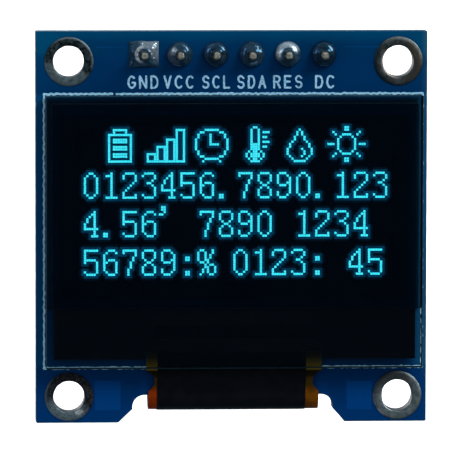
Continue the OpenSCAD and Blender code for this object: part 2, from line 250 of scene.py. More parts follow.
def ribbon(sh, pts, w, y0, y1, mat=0, wob=0.0, seed=0.0, cap=6, step=0.12):
    """A stroke of even width along a polyline, with round ends, as a thin plate."""
    path = []
    for p, q in zip(pts, pts[1:]):
        d = math.hypot(q[0] - p[0], q[1] - p[1])
        k = max(1, int(d / step))
        path += [(p[0] + (q[0] - p[0]) * j / k, p[1] + (q[1] - p[1]) * j / k) for j in range(k)]
    path.append(pts[-1])
    left, right = [], []
    n = len(path)
    for i, p in enumerate(path):
        a, b = path[max(0, i - 1)], path[min(n - 1, i + 1)]
        t = Vector((b[0] - a[0], b[1] - a[1]))
        t = t.normalized() if t.length > 0 else Vector((1, 0))
        nx, nz = -t.y, t.x
        k1 = w / 2 + (wob * n3(p[0] * 5 + seed, p[1] * 5, 1.3) if wob else 0)
        k2 = w / 2 + (wob * n3(p[0] * 5 + seed, p[1] * 5, 7.9) if wob else 0)
        left.append((p[0] + nx * k1, p[1] + nz * k1))
        right.append((p[0] - nx * k2, p[1] - nz * k2))
    def fan(c, d, s):
        out = []
        for k in range(1, cap):
            a = math.pi * k / cap
            out.append((c[0] + w / 2 * (math.cos(a) * s[0] + math.sin(a) * d[0]), c[1] + w / 2 * (math.cos(a) * s[1] + math.sin(a) * d[1])))
        return out
    t1 = Vector((path[-1][0] - path[-2][0], path[-1][1] - path[-2][1])).normalized()
    t0 = Vector((path[0][0] - path[1][0], path[0][1] - path[1][1])).normalized()
    loop = left + fan(path[-1], t1, (-t1.y, t1.x)) + right[::-1] + fan(path[0], t0, (-t0.y, t0.x))
    plate(sh, [loop], y0, y1, 0.0, (mat, mat, mat))


# ---------------------------------------------------------------- materials
def lin(c):
    return tuple(((x / 255) / 12.92 if x / 255 <= 0.04045 else ((x / 255 + 0.055) / 1.055) ** 2.4) for x in c) + (1.0,)


def scaled(c, k):
    return tuple(min(1.0, x * k) for x in c[:3]) + (1.0,)


class Mat:
    """A procedural material; its pattern coordinates are the object's own, in millimetres."""

    def __init__(self, name):
        self.mat = bpy.data.materials.new(name)
        self.mat.use_nodes = True
        self.nt = self.mat.node_tree
        self.nt.nodes.clear()
        self.out = self.node("ShaderNodeOutputMaterial")
        tc = self.node("ShaderNodeTexCoord")
        sc = self.node("ShaderNodeVectorMath", operation="SCALE")
        sc.inputs["Scale"].default_value = 1000.0
        self.link(tc.outputs["Object"], sc.inputs[0])
        self.pos = sc.outputs[0]

    def node(self, kind, **kw):
        n = self.nt.nodes.new(kind)
        for k, v in kw.items():
            setattr(n, k, v)
        return n

    def link(self, a, b):
        self.nt.links.new(a, b)

    def noise(self, scale, detail=3.0, rough=0.55, dist=0.0, stretch=None, offset=0.0):
        src = self.pos
        if stretch or offset:
            mp = self.node("ShaderNodeMapping")
            mp.inputs["Scale"].default_value = stretch or (1, 1, 1)
            mp.inputs["Location"].default_value = (offset, offset * 0.7, offset * 1.3)
            self.link(src, mp.inputs[0])
            src = mp.outputs[0]
        n = self.node("ShaderNodeTexNoise")
        n.inputs["Scale"].default_value = scale
        n.inputs["Detail"].default_value = detail
        n.inputs["Roughness"].default_value = rough
        n.inputs["Distortion"].default_value = dist
        self.link(src, n.inputs["Vector"])
        return n.outputs[0]

    def axis(self, k):
        s = self.node("ShaderNodeSeparateXYZ")
        self.link(self.pos, s.inputs[0])
        return s.outputs[k]

    def remap(self, val, a, b, c=0.0, d=1.0, smooth=True):
        r = self.node("ShaderNodeMapRange", interpolation_type="SMOOTHSTEP" if smooth else "LINEAR")
        r.inputs["From Min"].default_value = a
        r.inputs["From Max"].default_value = b
        r.inputs["To Min"].default_value = c
        r.inputs["To Max"].default_value = d
        self.link(val, r.inputs["Value"])
        return r.outputs[0]

    def math(self, op, a, b):
        m = self.node("ShaderNodeMath", operation=op)
        for s, v in zip(m.inputs, (a, b)):
            if isinstance(v, (int, float)):
                s.default_value = v
            else:
                self.link(v, s)
        return m.outputs[0]

    def mix(self, fac, a, b, mode="MIX"):
        m = self.node("ShaderNodeMix", data_type="RGBA", blend_type=mode)
        for s, v in ((m.inputs["Factor"], fac), (m.inputs["A"], a), (m.inputs["B"], b)):
            pass
        for idx, v in ((0, fac), (6, a), (7, b)):
            s = m.inputs[idx]
            if isinstance(v, (int, float)):
                s.default_value = v
            elif isinstance(v, tuple):
                s.default_value = v
            else:
                self.link(v, s)
        return m.outputs[2]

    def bump(self, height, strength=0.3, dist_mm=0.02, normal=None):
        b = self.node("ShaderNodeBump")
        b.inputs["Strength"].default_value = strength
        b.inputs["Distance"].default_value = dist_mm * MM
        self.link(height, b.inputs["Height"])
        if normal:
            self.link(normal, b.inputs["Normal"])
        return b.outputs[0]

    def principled(self, color, rough, metallic=0.0, normal=None, **kw):
        p = self.node("ShaderNodeBsdfPrincipled")
        for key, v in (("Base Color", color), ("Roughness", rough), ("Metallic", metallic)):
            s = p.inputs[key]
            if isinstance(v, (int, float, tuple)):
                s.default_value = v
            else:
                self.link(v, s)
        if normal:
            self.link(normal, p.inputs["Normal"])
        for k, v in kw.items():
            s = p.inputs[k.replace("_", " ")]
            if isinstance(v, (int, float, tuple)):
                s.default_value = v
            else:
                self.link(v, s)
        self.link(p.outputs[0], self.out.inputs["Surface"])
        return p

    def clear(self, tint, rough=0.02, ior=1.5, normal=None):
        """Clear sheet: tinted see-through with a gloss that grows at grazing angles."""
        t = self.node("ShaderNodeBsdfTransparent")
        if isinstance(tint, tuple):
            t.inputs["Color"].default_value = tint
        else:
            self.link(tint, t.inputs["Color"])
        g = self.node("ShaderNodeBsdfGlossy")
        g.inputs["Roughness"].default_value = rough
        g.inputs["Color"].default_value = (1, 1, 1, 1)
        f = self.node("ShaderNodeFresnel")
        f.inputs["IOR"].default_value = ior
        if normal:
            self.link(normal, g.inputs["Normal"])
        m = self.node("ShaderNodeMixShader")
        self.link(f.outputs[0], m.inputs[0])
        self.link(t.outputs[0], m.inputs[1])
        self.link(g.outputs[0], m.inputs[2])
        self.link(m.outputs[0], self.out.inputs["Surface"])
        return m


def two_tone(name, a, b, scale, rough=(0.4, 0.6), metallic=0.0, bump=0.0, bump_scale=None, detail=4.0, lo=0.35, hi=0.65, **kw):
    m = Mat(name)
    n = m.noise(scale, detail)
    col = m.mix(m.remap(n, lo, hi), a, b)
    r = m.remap(m.noise(scale * 1.7, 3, offset=11.0), 0.3, 0.7, rough[0], rough[1])
    nrm = m.bump(m.noise(bump_scale or scale * 3, 4, offset=5.0), bump, 0.02) if bump else None
    m.principled(col, r, metallic, nrm, **kw)
    return m.mat


# Finishes ------------------------------------------------------------
def solder_mask(name, base, seed=0.0, lift=1.0, rough=(0.12, 0.22)):
    """Glossy blue lacquer: slow drift of depth, fine speckle and orange peel; painted light makes it paler at the top
    and right rims and on the strips beside the glass.
    """
    m = Mat(name)
    slow = m.noise(0.20, 2.5, 0.5, offset=3.0 + seed)
    fine = m.noise(2.4, 5.0, 0.6, offset=9.0 + seed)
    a, b = scaled(base, 0.86 * lift), scaled(base, 1.14 * lift)
    col = m.mix(m.remap(slow, 0.3, 0.7), a, b)
    col = m.mix(m.remap(fine, 0.3, 0.8, 0.0, 0.30), col, scaled((base[0], base[1] * 1.22, base[2] * 1.12), lift))
    # painted light: paler towards the top rim, the top corners and the right rim, where the light from above and from
    # the upper right falls most
    x, z = m.axis(0), m.axis(2)
    top = m.remap(z, 12.9, 13.98)
    corner = m.math("MULTIPLY", m.remap(x, -8.5, -13.9), m.remap(z, 8.0, 13.9))
    corner_r = m.math("MULTIPLY", m.remap(x, 9.5, 13.7), m.remap(z, 9.0, 13.9))
    right = m.remap(x, 13.15, 13.62)
    edge = m.math("MAXIMUM", m.math("MULTIPLY", top, 0.5), m.math("MULTIPLY", corner, 0.75))
    edge = m.math("MAXIMUM", edge, m.math("MULTIPLY", corner_r, 0.5))
    col = m.mix(m.math("MULTIPLY", edge, 0.8), col, scaled((base[0], base[1] * 3.0, base[2] * 1.9), lift))
    col = m.mix(m.math("MULTIPLY", right, 0.55), col, scaled((base[0] + 0.02, base[1] * 3.4, base[2] * 1.7), lift))
    low = m.remap(z, -8.5, -11.0, 0.0, 0.9)
    col = m.mix(low, col, scaled((base[0], base[1] * 1.02, base[2] * 1.34), lift))
    head = m.math("MULTIPLY", m.remap(z, 12.6, 12.0), m.remap(z, 9.3, 9.8))
    col = m.mix(m.math("MULTIPLY", head, 0.5), col, scaled((base[0], base[1] * 0.92, base[2] * 1.12), lift))
    # painted light: the strips of board left and right of the glass are made lighter, the left one against the shade
    # the glass casts on it, the right one where the light from the upper right falls
    tall = m.math("MULTIPLY", m.remap(z, 9.7, 9.3), m.remap(z, -9.9, -9.5))
    left_strip_light = m.math("MULTIPLY", tall, m.remap(x, -13.2, -13.4, 0.0, 0.8))
    col = m.mix(left_strip_light, col, scaled((base[0], base[1] * 1.9, base[2] * 1.7), lift))
    right_strip_light = m.math("MULTIPLY", tall, m.remap(x, 12.3, 13.3, 0.0, 0.9))
    col = m.mix(right_strip_light, col, scaled((base[0] + 0.008, base[1] * 2.5, base[2] * 1.7), lift))
    r = m.remap(m.noise(1.6, 3, offset=2.0), 0.3, 0.7, rough[0], rough[1])
    nrm = m.bump(m.noise(9.0, 3, offset=4.0), 0.2, 0.01)
    nrm = m.bump(m.noise(1.1, 2, offset=6.0), 0.25, 0.03, nrm)
    m.principled(col, r, 0.0, nrm, Specular_IOR_Level=0.03)
    return m.mat


BLUE = lin((0, 48, 90))
mask_front = solder_mask("mask_blue", BLUE)
mask_pour = solder_mask("mask_over_copper", BLUE, 4.0, 1.36)
mask_bare = solder_mask("mask_over_laminate", BLUE, 7.0, 0.87)
mask_back = solder_mask("mask_blue_back", BLUE, 12.0, 1.0)


def laminate():
    m = Mat("laminate_edge")
    layers = m.noise(1.0, 4, 0.6, stretch=(0.6, 16.0, 0.6))
    fibre = m.noise(7.0, 4, 0.7, offset=3.0)
    col = m.mix(m.remap(layers, 0.35, 0.65), lin((26, 70, 92)), lin((58, 104, 112)))
    col = m.mix(m.remap(fibre, 0.5, 0.8, 0.0, 0.6), col, lin((112, 146, 140)))
    y = m.axis(1)
    skin = m.math("MAXIMUM", m.remap(y, -1.5, -1.56), m.remap(y, -0.1, -0.04))
    col = m.mix(skin, col, lin((4, 58, 100)))
    m.principled(col, m.remap(layers, 0.3, 0.7, 0.5, 0.75), 0.0, m.bump(fibre, 0.5, 0.03))
    return m.mat


edge_mat = laminate()


def tin(name, dark, light, scale, rough, bump, seed=0.0, warm=0.0, lo=0.38, hi=0.62, fine=9.0):
    """Hot-dipped tin or solder: metallic, mottled, with dull and bright grains."""
    m = Mat(name)
    n = m.noise(scale, 5, 0.68, 0.4, offset=seed)
    col = m.mix(m.remap(n, lo, hi), dark, light)
    if warm:
        w = m.noise(0.9, 2, 0.5, offset=seed + 8)
        col = m.mix(m.remap(w, 0.42, 0.62, 0.0, warm), col, lin((150, 112, 78)))
    r = m.remap(m.noise(scale * 1.6, 4, offset=seed + 3), 0.3, 0.7, rough[0], rough[1])
    nrm = m.bump(m.noise(fine, 4, 0.6, offset=seed + 5), bump, 0.02)
    m.principled(col, r, 1.0, nrm)
    return m.mat


def ring_tin(name, cx_, cz_, dark, light, scale, zones, rough, bump, seed, metallic=0.55, lo=0.4, hi=0.62):
    """Tin of a screw hole's ring; zones tint a sector, some as the tin's own tone and some as painted highlights or
    painted shade: (angle, from, to, inner r, outer r, colour, amount).
    """
    m = Mat(name)
    n = m.noise(scale, 5, 0.7, 0.5, offset=seed)
    grain = m.remap(n, lo, hi)
    col = m.mix(grain, dark, light)
    x, z = m.math("SUBTRACT", m.axis(0), cx_), m.math("SUBTRACT", m.axis(2), cz_)
    r = m.math("SQRT", m.math("ADD", m.math("MULTIPLY", x, x), m.math("MULTIPLY", z, z)), 0.0)
    u, v = m.math("DIVIDE", x, r), m.math("DIVIDE", z, r)
    drift = m.math("MULTIPLY", m.math("SUBTRACT", m.noise(1.8, 3, offset=seed + 4), 0.5), 0.5)
    for ang, a, b, r0, r1, tint, amount, *outer in zones:
        ca, sa = math.cos(math.radians(ang)), math.sin(math.radians(ang))
        d = m.math("ADD", m.math("MULTIPLY", u, ca), m.math("MULTIPLY", v, sa))
        f = m.remap(m.math("ADD", d, drift), a, b, 0.0, amount)
        f = m.math("MULTIPLY", f, m.remap(m.math("ADD", r, m.math("MULTIPLY", drift, 0.2)), r0, r1))
        if outer:
            f = m.math("MULTIPLY", f, m.remap(r, outer[1], outer[0]))
        f = m.math("MULTIPLY", f, m.remap(n, lo - 0.14, hi + 0.02, 0.35, 1.0))
        col = m.mix(f, col, tint)
    ro = m.remap(m.noise(scale * 1.4, 4, offset=seed + 3), 0.3, 0.7, rough[0], rough[1])
    nrm = m.bump(m.noise(9.0, 4, 0.6, offset=seed + 5), bump, 0.02)
    m.principled(col, ro, metallic, nrm, Specular_IOR_Level=0.4)
    return m.mat


RX, RZ = 11.625, 11.85
RIM = (0, -3.0, -2.0, 1.60, 1.73, lin((16, 36, 50)), 0.75)
# top left ring: the zones at 62 and -125 degrees are painted highlights on the outer arcs
tin_rough = ring_tin("tin_mottled", -RX, RZ, lin((10, 22, 26)), lin((62, 80, 84)), 4.6, [
    (-105, 0.28, 0.40, 0.9, 1.1, lin((104, 126, 132)), 0.9), RIM,
    (62, 0.1, 0.8, 1.56, 1.64, lin((132, 150, 160)), 0.8),
    (-125, 0.2, 0.8, 1.54, 1.66, lin((112, 132, 142)), 0.7)], (0.32, 0.55), 1.0, 1.0, lo=0.42, hi=0.60)
# bottom left ring: the zone at 200 degrees is a painted highlight on the left outer arc
tin_speck = ring_tin("tin_speckled", -RX, -RZ, lin((18, 22, 28)), lin((84, 94, 104)), 5.2, [
    (-105, 0.1, 0.7, 0.9, 1.1, lin((116, 138, 148)), 0.85), RIM,
    (200, 0.2, 0.8, 1.52, 1.64, lin((118, 142, 160)), 0.8),
    (-51, 0.975, 0.992, 1.10, 1.18, lin((220, 226, 228)), 0.8, 1.42, 1.50),
    (140, 0.2, 0.8, 0.9, 1.1, lin((22, 26, 30)), 0.5),
    (45, 0.1, 0.8, 0.9, 1.1, lin((52, 40, 40)), 0.45)], (0.32, 0.55), 1.0, 21.0, lo=0.42, hi=0.60)
# top right ring: the zones at 62 and -150 degrees are painted highlights, the zone at -165 degrees is painted shade on
# the outer slope
tin_smooth = ring_tin("tin_warm", RX, RZ, lin((46, 60, 64)), lin((86, 94, 96)), 2.4, [
    (0, 0.0, 0.9, 0.9, 1.2, lin((104, 88, 68)), 0.7),
    (-40, 0.5, 1.0, 0.9, 1.0, lin((40, 50, 56)), 0.6), RIM,
    (62, 0.2, 0.9, 1.45, 1.60, lin((150, 160, 160)), 0.75),
    (-150, 0.1, 0.8, 1.30, 1.12, lin((196, 178, 170)), 0.85),
    (-165, 0.2, 0.8, 1.40, 1.55, lin((20, 36, 46)), 0.8)], (0.28, 0.42), 0.4, 31.0)
# bottom right ring: the zones at 50, -150 and -152 degrees are painted highlights, the zone at 150 degrees is painted
# shade on the outer slope
tin_grey = ring_tin("tin_grey", RX, -RZ, lin((84, 102, 108)), lin((120, 134, 138)), 2.4, [
    (100, 0.2, 0.9, 0.9, 1.2, lin((84, 80, 76)), 0.6), RIM,
    (50, 0.4, 0.95, 1.50, 1.62, lin((160, 176, 182)), 0.85),
    (-150, 0.2, 0.8, 1.26, 1.10, lin((176, 188, 192)), 0.8),
    (-152, 0.90, 0.97, 1.58, 1.66, lin((190, 200, 206)), 0.8),
    (150, 0.4, 0.95, 1.40, 1.62, lin((44, 58, 66)), 0.7)], (0.28, 0.42), 0.4, 41.0)
barrel = two_tone("barrel_tin", lin((20, 28, 32)), lin((70, 80, 84)), 3.0, (0.35, 0.55), 0.35, 0.4, 8.0, Specular_IOR_Level=0.3)
DIM, PALE = lin((32, 62, 80)), lin((70, 106, 130))
JZ = 12.36


def joint_tin(i, zones, rough=(0.10, 0.20), metallic=0.85):
    return ring_tin(f"solder_joint_tin_{i}", (i - 3.5) * 2.54, JZ, DIM, PALE, 1.5, zones, rough, 0.25, 60.0 + 3 * i, metallic, 0.3, 0.7)


# every joint's zones are painted highlights and painted reflections: bright spots, arcs, a band and bluish patches
# where the lights would glint in the solder
joint_highlight_mats = {
    1: joint_tin(1, [(180, -0.2, 0.5, 0.40, 0.46, lin((236, 244, 248)), 0.95, 0.60, 0.70), (40, 0.1, 0.9, 0.4, 0.6, lin((190, 204, 212)), 0.7)], (0.14, 0.26), 0.62),
    2: joint_tin(2, [(152, 0.80, 0.95, 0.34, 0.42, lin((232, 242, 250)), 0.95, 0.66, 0.74), (205, 0.3, 0.9, 0.3, 0.5, lin((120, 136, 160)), 0.5)], metallic=0.7),
    3: joint_tin(3, [(158, 0.5, 0.95, 0.40, 0.60, lin((96, 134, 168)), 0.7)]),
    4: joint_tin(4, [(165, 0.5, 0.95, 0.40, 0.60, lin((84, 116, 156)), 0.7), (-85, 0.92, 0.98, 0.50, 0.56, lin((150, 196, 220)), 0.8, 0.66, 0.74)], metallic=0.75),
    5: joint_tin(5, [(112, -0.35, 0.30, 0.44, 0.56, lin((206, 224, 234)), 0.85, 0.84, 0.94), (178, 0.90, 0.98, 0.5, 0.6, lin((250, 252, 255)), 0.95, 0.80, 0.86)], (0.2, 0.32), 0.6),
    6: joint_tin(6, [(170, 0.3, 0.9, 0.40, 0.60, lin((70, 100, 136)), 0.6)]),
}
solder_back = tin("solder_satin", lin((150, 158, 164)), lin((214, 220, 226)), 4.0, (0.18, 0.36), 0.3, 71.0)


def gilt(name, a, b, rough):
    m = Mat(name)
    drawn = m.noise(3.0, 4, 0.6, stretch=(6.0, 0.35, 6.0))
    col = m.mix(m.remap(drawn, 0.35, 0.65), a, b)
    m.principled(col, m.remap(m.noise(5.0, 3), 0.3, 0.7, rough[0], rough[1]), 1.0, m.bump(drawn, 0.25, 0.01))
    return m.mat


pin_gold = gilt("pin_brass", lin((196, 160, 92)), lin((236, 206, 140)), (0.18, 0.32))
def tip_tin():
    """Cut end of a pin: creamy in the middle, dark where solder has run over its rim."""
    m = Mat("pin_tip_tinned")
    x = m.math("MULTIPLY", m.math("SUBTRACT", m.math("FRACT", m.math("ADD", m.math("DIVIDE", m.axis(0), 2.54), 0.0), 0.0), 0.5), 2.54)
    z = m.math("SUBTRACT", m.axis(2), 12.30)
    wob = m.math("MULTIPLY", m.math("SUBTRACT", m.noise(4.5, 3), 0.5), 0.22)
    d = m.math("ADD", m.math("SQRT", m.math("ADD", m.math("MULTIPLY", x, x), m.math("MULTIPLY", z, z)), 0.0), wob)
    col = m.mix(m.remap(m.noise(7.0, 4, offset=3.0), 0.35, 0.65), lin((118, 120, 108)), lin((168, 170, 160)))
    col = m.mix(m.remap(d, 0.20, 0.30), col, lin((34, 48, 54)))
    m.principled(col, m.remap(m.noise(6.0, 3), 0.3, 0.7, 0.35, 0.5), 0.4, m.bump(m.noise(9.0, 3), 0.6, 0.02), Specular_IOR_Level=0.3)
    return m.mat


pin_tip = tip_tin()

ink = two_tone("legend_ink", lin((122, 182, 220)), lin((168, 218, 248)), 7.0, (0.5, 0.7), bump=0.4, bump_scale=12.0)
ink_line = two_tone("legend_line_ink", lin((126, 192, 228)), lin((172, 224, 250)), 5.0, (0.5, 0.7), bump=0.4, bump_scale=12.0)


def clear_sheet(name, tint_a, tint_b, rough, scale=0.5):
    m = Mat(name)
    tint = m.mix(m.remap(m.noise(scale, 3), 0.35, 0.65), tint_a, tint_b)
    m.clear(tint, rough, 1.5, m.bump(m.noise(0.25, 1), 0.02, 0.02))
    return m.mat


glass_face = clear_sheet("glass_clear", (0.935, 0.96, 0.95, 1), (0.95, 0.97, 0.96, 1), 0.02)
glass_rim = two_tone("glass_ground_edge", lin((10, 32, 44)), lin((24, 56, 72)), 4.0, (0.3, 0.5), bump=0.5, bump_scale=10.0, Specular_IOR_Level=0.12)
cap_face = clear_sheet("cap_glass_clear", (0.94, 0.965, 0.955, 1), (0.955, 0.975, 0.965, 1), 0.03)
cap_rim = two_tone("cap_glass_edge", lin((10, 32, 44)), lin((24, 56, 72)), 4.0, (0.3, 0.5), bump=0.5, bump_scale=10.0, Specular_IOR_Level=0.12)
polar_face = clear_sheet("polariser_film", (0.70, 0.765, 0.785, 1), (0.73, 0.79, 0.81, 1), 0.03)
polar_rim = two_tone("polariser_edge", lin((2, 7, 12)), lin((12, 24, 34)), 3.0, (0.3, 0.5), bump=0.3, Specular_IOR_Level=0.12)
seal_mat = clear_sheet("seal_resin", (0.86, 0.88, 0.84, 1), (0.9, 0.92, 0.88, 1), 0.2, 3.0)
emit_dark = two_tone("emitter_stack", (0.0024, 0.0078, 0.0200, 1), (0.0034, 0.0108, 0.0270, 1), 0.8, (0.25, 0.4), Specular_IOR_Level=0.1)
sheet_mat = two_tone("drying_sheet", lin((170, 168, 160)), lin((205, 203, 194)), 4.0, (0.7, 0.9), bump=0.3)
silicon_mat = two_tone("silicon_back", (0.0034, 0.0054, 0.0100, 1), (0.0050, 0.0072, 0.0126, 1), 1.2, (0.3, 0.45), 0.0, Specular_IOR_Level=0.1)
def potting_black():
    """Black sealing compound with a flowed rim; towards its left and bottom rims it is painted bluer, painted light
    standing in for the light that reaches the board past it.
    """
    m = Mat("potting_black")
    x, z = m.axis(0), m.axis(2)
    col = m.mix(m.remap(m.noise(1.2, 4), 0.35, 0.65), (0.0046, 0.0068, 0.0130, 1), (0.0062, 0.0084, 0.0156, 1))
    mid = m.math("MULTIPLY", m.remap(x, -6.2, -4.5), m.remap(x, 6.2, 4.5))
    col = m.mix(m.math("MULTIPLY", mid, 0.7), col, (0.0090, 0.0098, 0.0164, 1))
    # painted light: bluer at the left and bottom rims
    rim = m.math("MAXIMUM", m.remap(x, -12.35, -12.75), m.remap(z, -8.95, -9.2))
    col = m.mix(m.math("MULTIPLY", rim, 0.5), col, (0.005, 0.018, 0.036, 1))
    m.principled(col, m.remap(m.noise(2.0, 3), 0.3, 0.7, 0.35, 0.5), 0.0, m.bump(m.noise(2.5, 3), 0.3, 0.02), Specular_IOR_Level=0.15)
    return m.mat


potting_mat = potting_black()


def foam():
    """Black foam tape; towards its rim it is painted blue, painted light standing in for light from the board creeping
    in under its rim.
    """
    m = Mat("foam_black")
    x, z = m.axis(0), m.axis(2)
    # painted light: blue towards the rim, black inside
    inner = m.remap(z, 8.1, 7.0)
    inner = m.math("MULTIPLY", inner, m.remap(x, 12.4, 11.4))
    inner = m.math("MULTIPLY", inner, m.remap(x, -12.3, -11.9))
    col = m.mix(m.remap(m.noise(7.0, 4), 0.35, 0.65), (0.0022, 0.0085, 0.020, 1), (0.0032, 0.0110, 0.026, 1))
    col = m.mix(inner, lin((2, 30, 50)), col)
    m.principled(col, m.remap(m.noise(9.0, 3), 0.3, 0.7, 0.75, 0.95), 0.0, m.bump(m.noise(14.0, 4), 0.6, 0.03), Specular_IOR_Level=0.1)
    return m.mat


foam_mat = foam()


def amber():
    """Amber film: redder to the left, browner where it lies under the glass and at its waist, with a painted shadow in
    a band just below the glass edge and a painted lighter back.
    """
    m = Mat("polyimide_amber")
    x, y, z = m.axis(0), m.axis(1), m.axis(2)
    side = m.remap(x, -2.0, 2.0)
    n = m.noise(1.4, 3, 0.5)
    red = m.mix(m.remap(n, 0.35, 0.65), lin((106, 34, 1)), lin((122, 44, 2)))
    ochre = m.mix(m.remap(n, 0.35, 0.65), lin((84, 46, 1)), lin((100, 58, 4)))
    col = m.mix(side, red, ochre)
    # painted light: the back is a lighter amber, as if seen in full light
    col = m.mix(m.remap(y, -0.8, -0.2), col, lin((150, 84, 12)))
    front = m.remap(y, -0.8, -1.2)
    waist = m.math("MULTIPLY", front, m.remap(z, -11.55, -10.95))
    col = m.mix(m.math("MULTIPLY", waist, 0.9), col, lin((46, 40, 6)))
    # painted shadow: a dark band on the front just below the glass edge
    shade = m.math("MULTIPLY", front, m.math("MULTIPLY", m.remap(z, -10.6, -10.3), m.remap(z, -9.85, -10.05)))
    col = m.mix(m.math("MULTIPLY", shade, 0.9), col, lin((20, 18, 5)))
    under = m.math("MULTIPLY", front, m.remap(z, -10.0, -9.85))
    col = m.mix(under, col, lin((110, 94, 16)))
    top = m.math("MULTIPLY", front, m.remap(z, -9.72, -8.9))
    col = m.mix(m.math("MULTIPLY", top, 0.93), col, lin((20, 20, 18)))
    m.principled(col, m.remap(m.noise(3.0, 3), 0.3, 0.7, 0.25, 0.4), 0.0, m.bump(m.noise(2.0, 2), 0.2, 0.03), Specular_IOR_Level=0.06)
    return m.mat


amber_mat = amber()
cover_mat = two_tone("cover_black", lin((7, 10, 17)), lin((11, 14, 21)), 1.3, (0.4, 0.55), bump=0.35, bump_scale=5.0, Specular_IOR_Level=0.18)
header_mat = two_tone("header_moulding", lin((20, 20, 22)), lin((34, 34, 37)), 2.5, (0.38, 0.58), bump=0.4, bump_scale=8.0)
mould_mat = two_tone("chip_moulding", lin((24, 24, 26)), lin((42, 42, 45)), 4.0, (0.45, 0.65), bump=0.5, bump_scale=16.0)
cap_body = two_tone("capacitor_body", lin((128, 98, 68)), lin((166, 134, 98)), 3.5, (0.35, 0.55), bump=0.3, bump_scale=14.0)
res_top = two_tone("resistor_top", lin((12, 12, 15)), lin((24, 24, 29)), 4.0, (0.2, 0.35), bump=0.2, bump_scale=10.0)
res_body = two_tone("resistor_alumina", lin((196, 198, 196)), lin((226, 228, 226)), 3.0, (0.45, 0.6), bump=0.2, bump_scale=14.0)


def lit():
    """Lit picture elements; neighbours differ very slightly in strength."""
    m = Mat("lit_cells")
    n = m.noise(2.2, 2)
    e = m.node("ShaderNodeEmission")
    m.link(m.mix(m.remap(n, 0.3, 0.7), (0.045, 0.79, 0.96, 1), (0.075, 0.86, 1.0, 1)), e.inputs["Color"])
    e.inputs["Strength"].default_value = 2.15
    m.link(e.outputs[0], m.out.inputs["Surface"])
    return m.mat


lit_mat = lit()


def glow(name, color, strength):
    """Painted glow: unlit cells beside a lit cell glow faintly, standing in for light spilt into the sheet."""
    m = Mat(name)
    e = m.node("ShaderNodeEmission")
    m.link(m.mix(m.remap(m.noise(1.5, 2), 0.3, 0.7), scaled(color, 0.8), scaled(color, 1.2)), e.inputs["Color"])
    e.inputs["Strength"].default_value = strength
    m.link(e.outputs[0], m.out.inputs["Surface"])
    return m.mat


glow_near = glow("glow_near", (0.0018, 0.066, 0.148), 1.0)
glow_far = glow("glow_far", (0.001, 0.007, 0.015), 1.0)

# ---------------------------------------------------------------- board
FRONT = -1.6
LEFT, RIGHT, BOTTOM, TOP = -13.965, 13.685, -13.71, 13.99
NL, NR, NZ, NRAD = -7.15, 7.05, -11.76, 0.85
HX, HZ = 11.625, 11.85
PAD_Z, PIN_Z, PITCH = 12.36, 12.30, 2.54


def board_outline():
    pts = [(LEFT + 0.08, BOTTOM), (NL - 1.0, BOTTOM), (NL, BOTTOM + 0.95)]
    for k in range(9):
        a = math.radians(180 - 90 * k / 8)
        pts.append((NL + NRAD + NRAD * math.cos(a), NZ - NRAD + NRAD * math.sin(a)))
    for k in range(9):
        a = math.radians(90 - 90 * k / 8)
        pts.append((NR - NRAD + NRAD * math.cos(a), NZ - NRAD + NRAD * math.sin(a)))
    pts += [(NR, BOTTOM + 0.95), (NR + 0.85, BOTTOM), (RIGHT - 0.08, BOTTOM), (RIGHT, BOTTOM + 0.08),
            (RIGHT, TOP - 0.06), (RIGHT - 0.06, TOP), (LEFT + 0.06, TOP), (LEFT, TOP - 0.06), (LEFT, BOTTOM + 0.08)]
    return divide(pts, 0.3, 0.016, 3.0, 2.0)


sh = Shells()
holes = [circle(sx * HX, sz * HZ, 1.15, 72) for sx in (-1, 1) for sz in (-1, 1)]
holes += [circle((i - 2.5) * PITCH, PAD_Z, 0.55, 24) for i in range(6)]
plate(sh, [board_outline()] + holes, FRONT, 0.0, 0.035, (0, 1, 2))


def relief(pts, h, mat, back=False, bevel=0.008):
    """A low step in the lacquer where copper lies, or doesn't lie, under it."""
    y0, y1 = (FRONT - h, FRONT + 0.01) if not back else (-0.01, h)
    plate(sh, [pts], y0, y1, bevel if not back else 0.0, (mat, mat, mat), back_bevel=bevel if back else 0.0)


# front: copper fields either side of the header, small fields at the notch
relief(rrect(-9.83, -7.99, -12.85, -10.70, 0.05), 0.018, 3)
relief(rrect(8.03, 9.81, -12.88, -10.80, 0.05), 0.018, 3)
relief([(-7.93, -12.5), (-7.25, -12.5), (-7.25, -12.0), (-6.6, -11.6), (-6.6, -10.75), (-7.93, -10.75)], 0.004, 4, bevel=0.003)
relief([(7.15, -12.5), (7.93, -12.5), (7.93, -10.85), (6.7, -10.85), (6.7, -11.6), (7.15, -12.0)], 0.004, 4, bevel=0.003)
# a darker band round each tinned ring: partly the mask's gap over bare laminate, partly painted shade at the foot of
# the tin bead
for sx in (-1, 1):
    for sz in (-1, 1):
        plate(sh, [circle(sx * HX, sz * HZ, 1.84, 96), circle(sx * HX, sz * HZ, 1.70, 96)], FRONT - 0.003, FRONT + 0.01, 0.0, (4, 4, 4))
relief(rrect(-9.75, -7.64, 12.80, 12.90, 0.03), 0.012, 3, bevel=0.005)
relief(rrect(7.74, 10.2, 12.80, 12.90, 0.03), 0.012, 3, bevel=0.005)
for x0, x1 in ((3.26, 3.44), (3.88, 4.06)):
    relief([(x0, 9.75), (x1, 9.75), (x1, 11.5), (x0, 11.5)], 0.004, 4, bevel=0.003)

# back: tracks from the header to the parts and the tail's contacts
def track(pts, w=0.22, h=0.03, mat=5):
    ribbon(sh, pts, w, -0.01, h, mat, step=0.5)


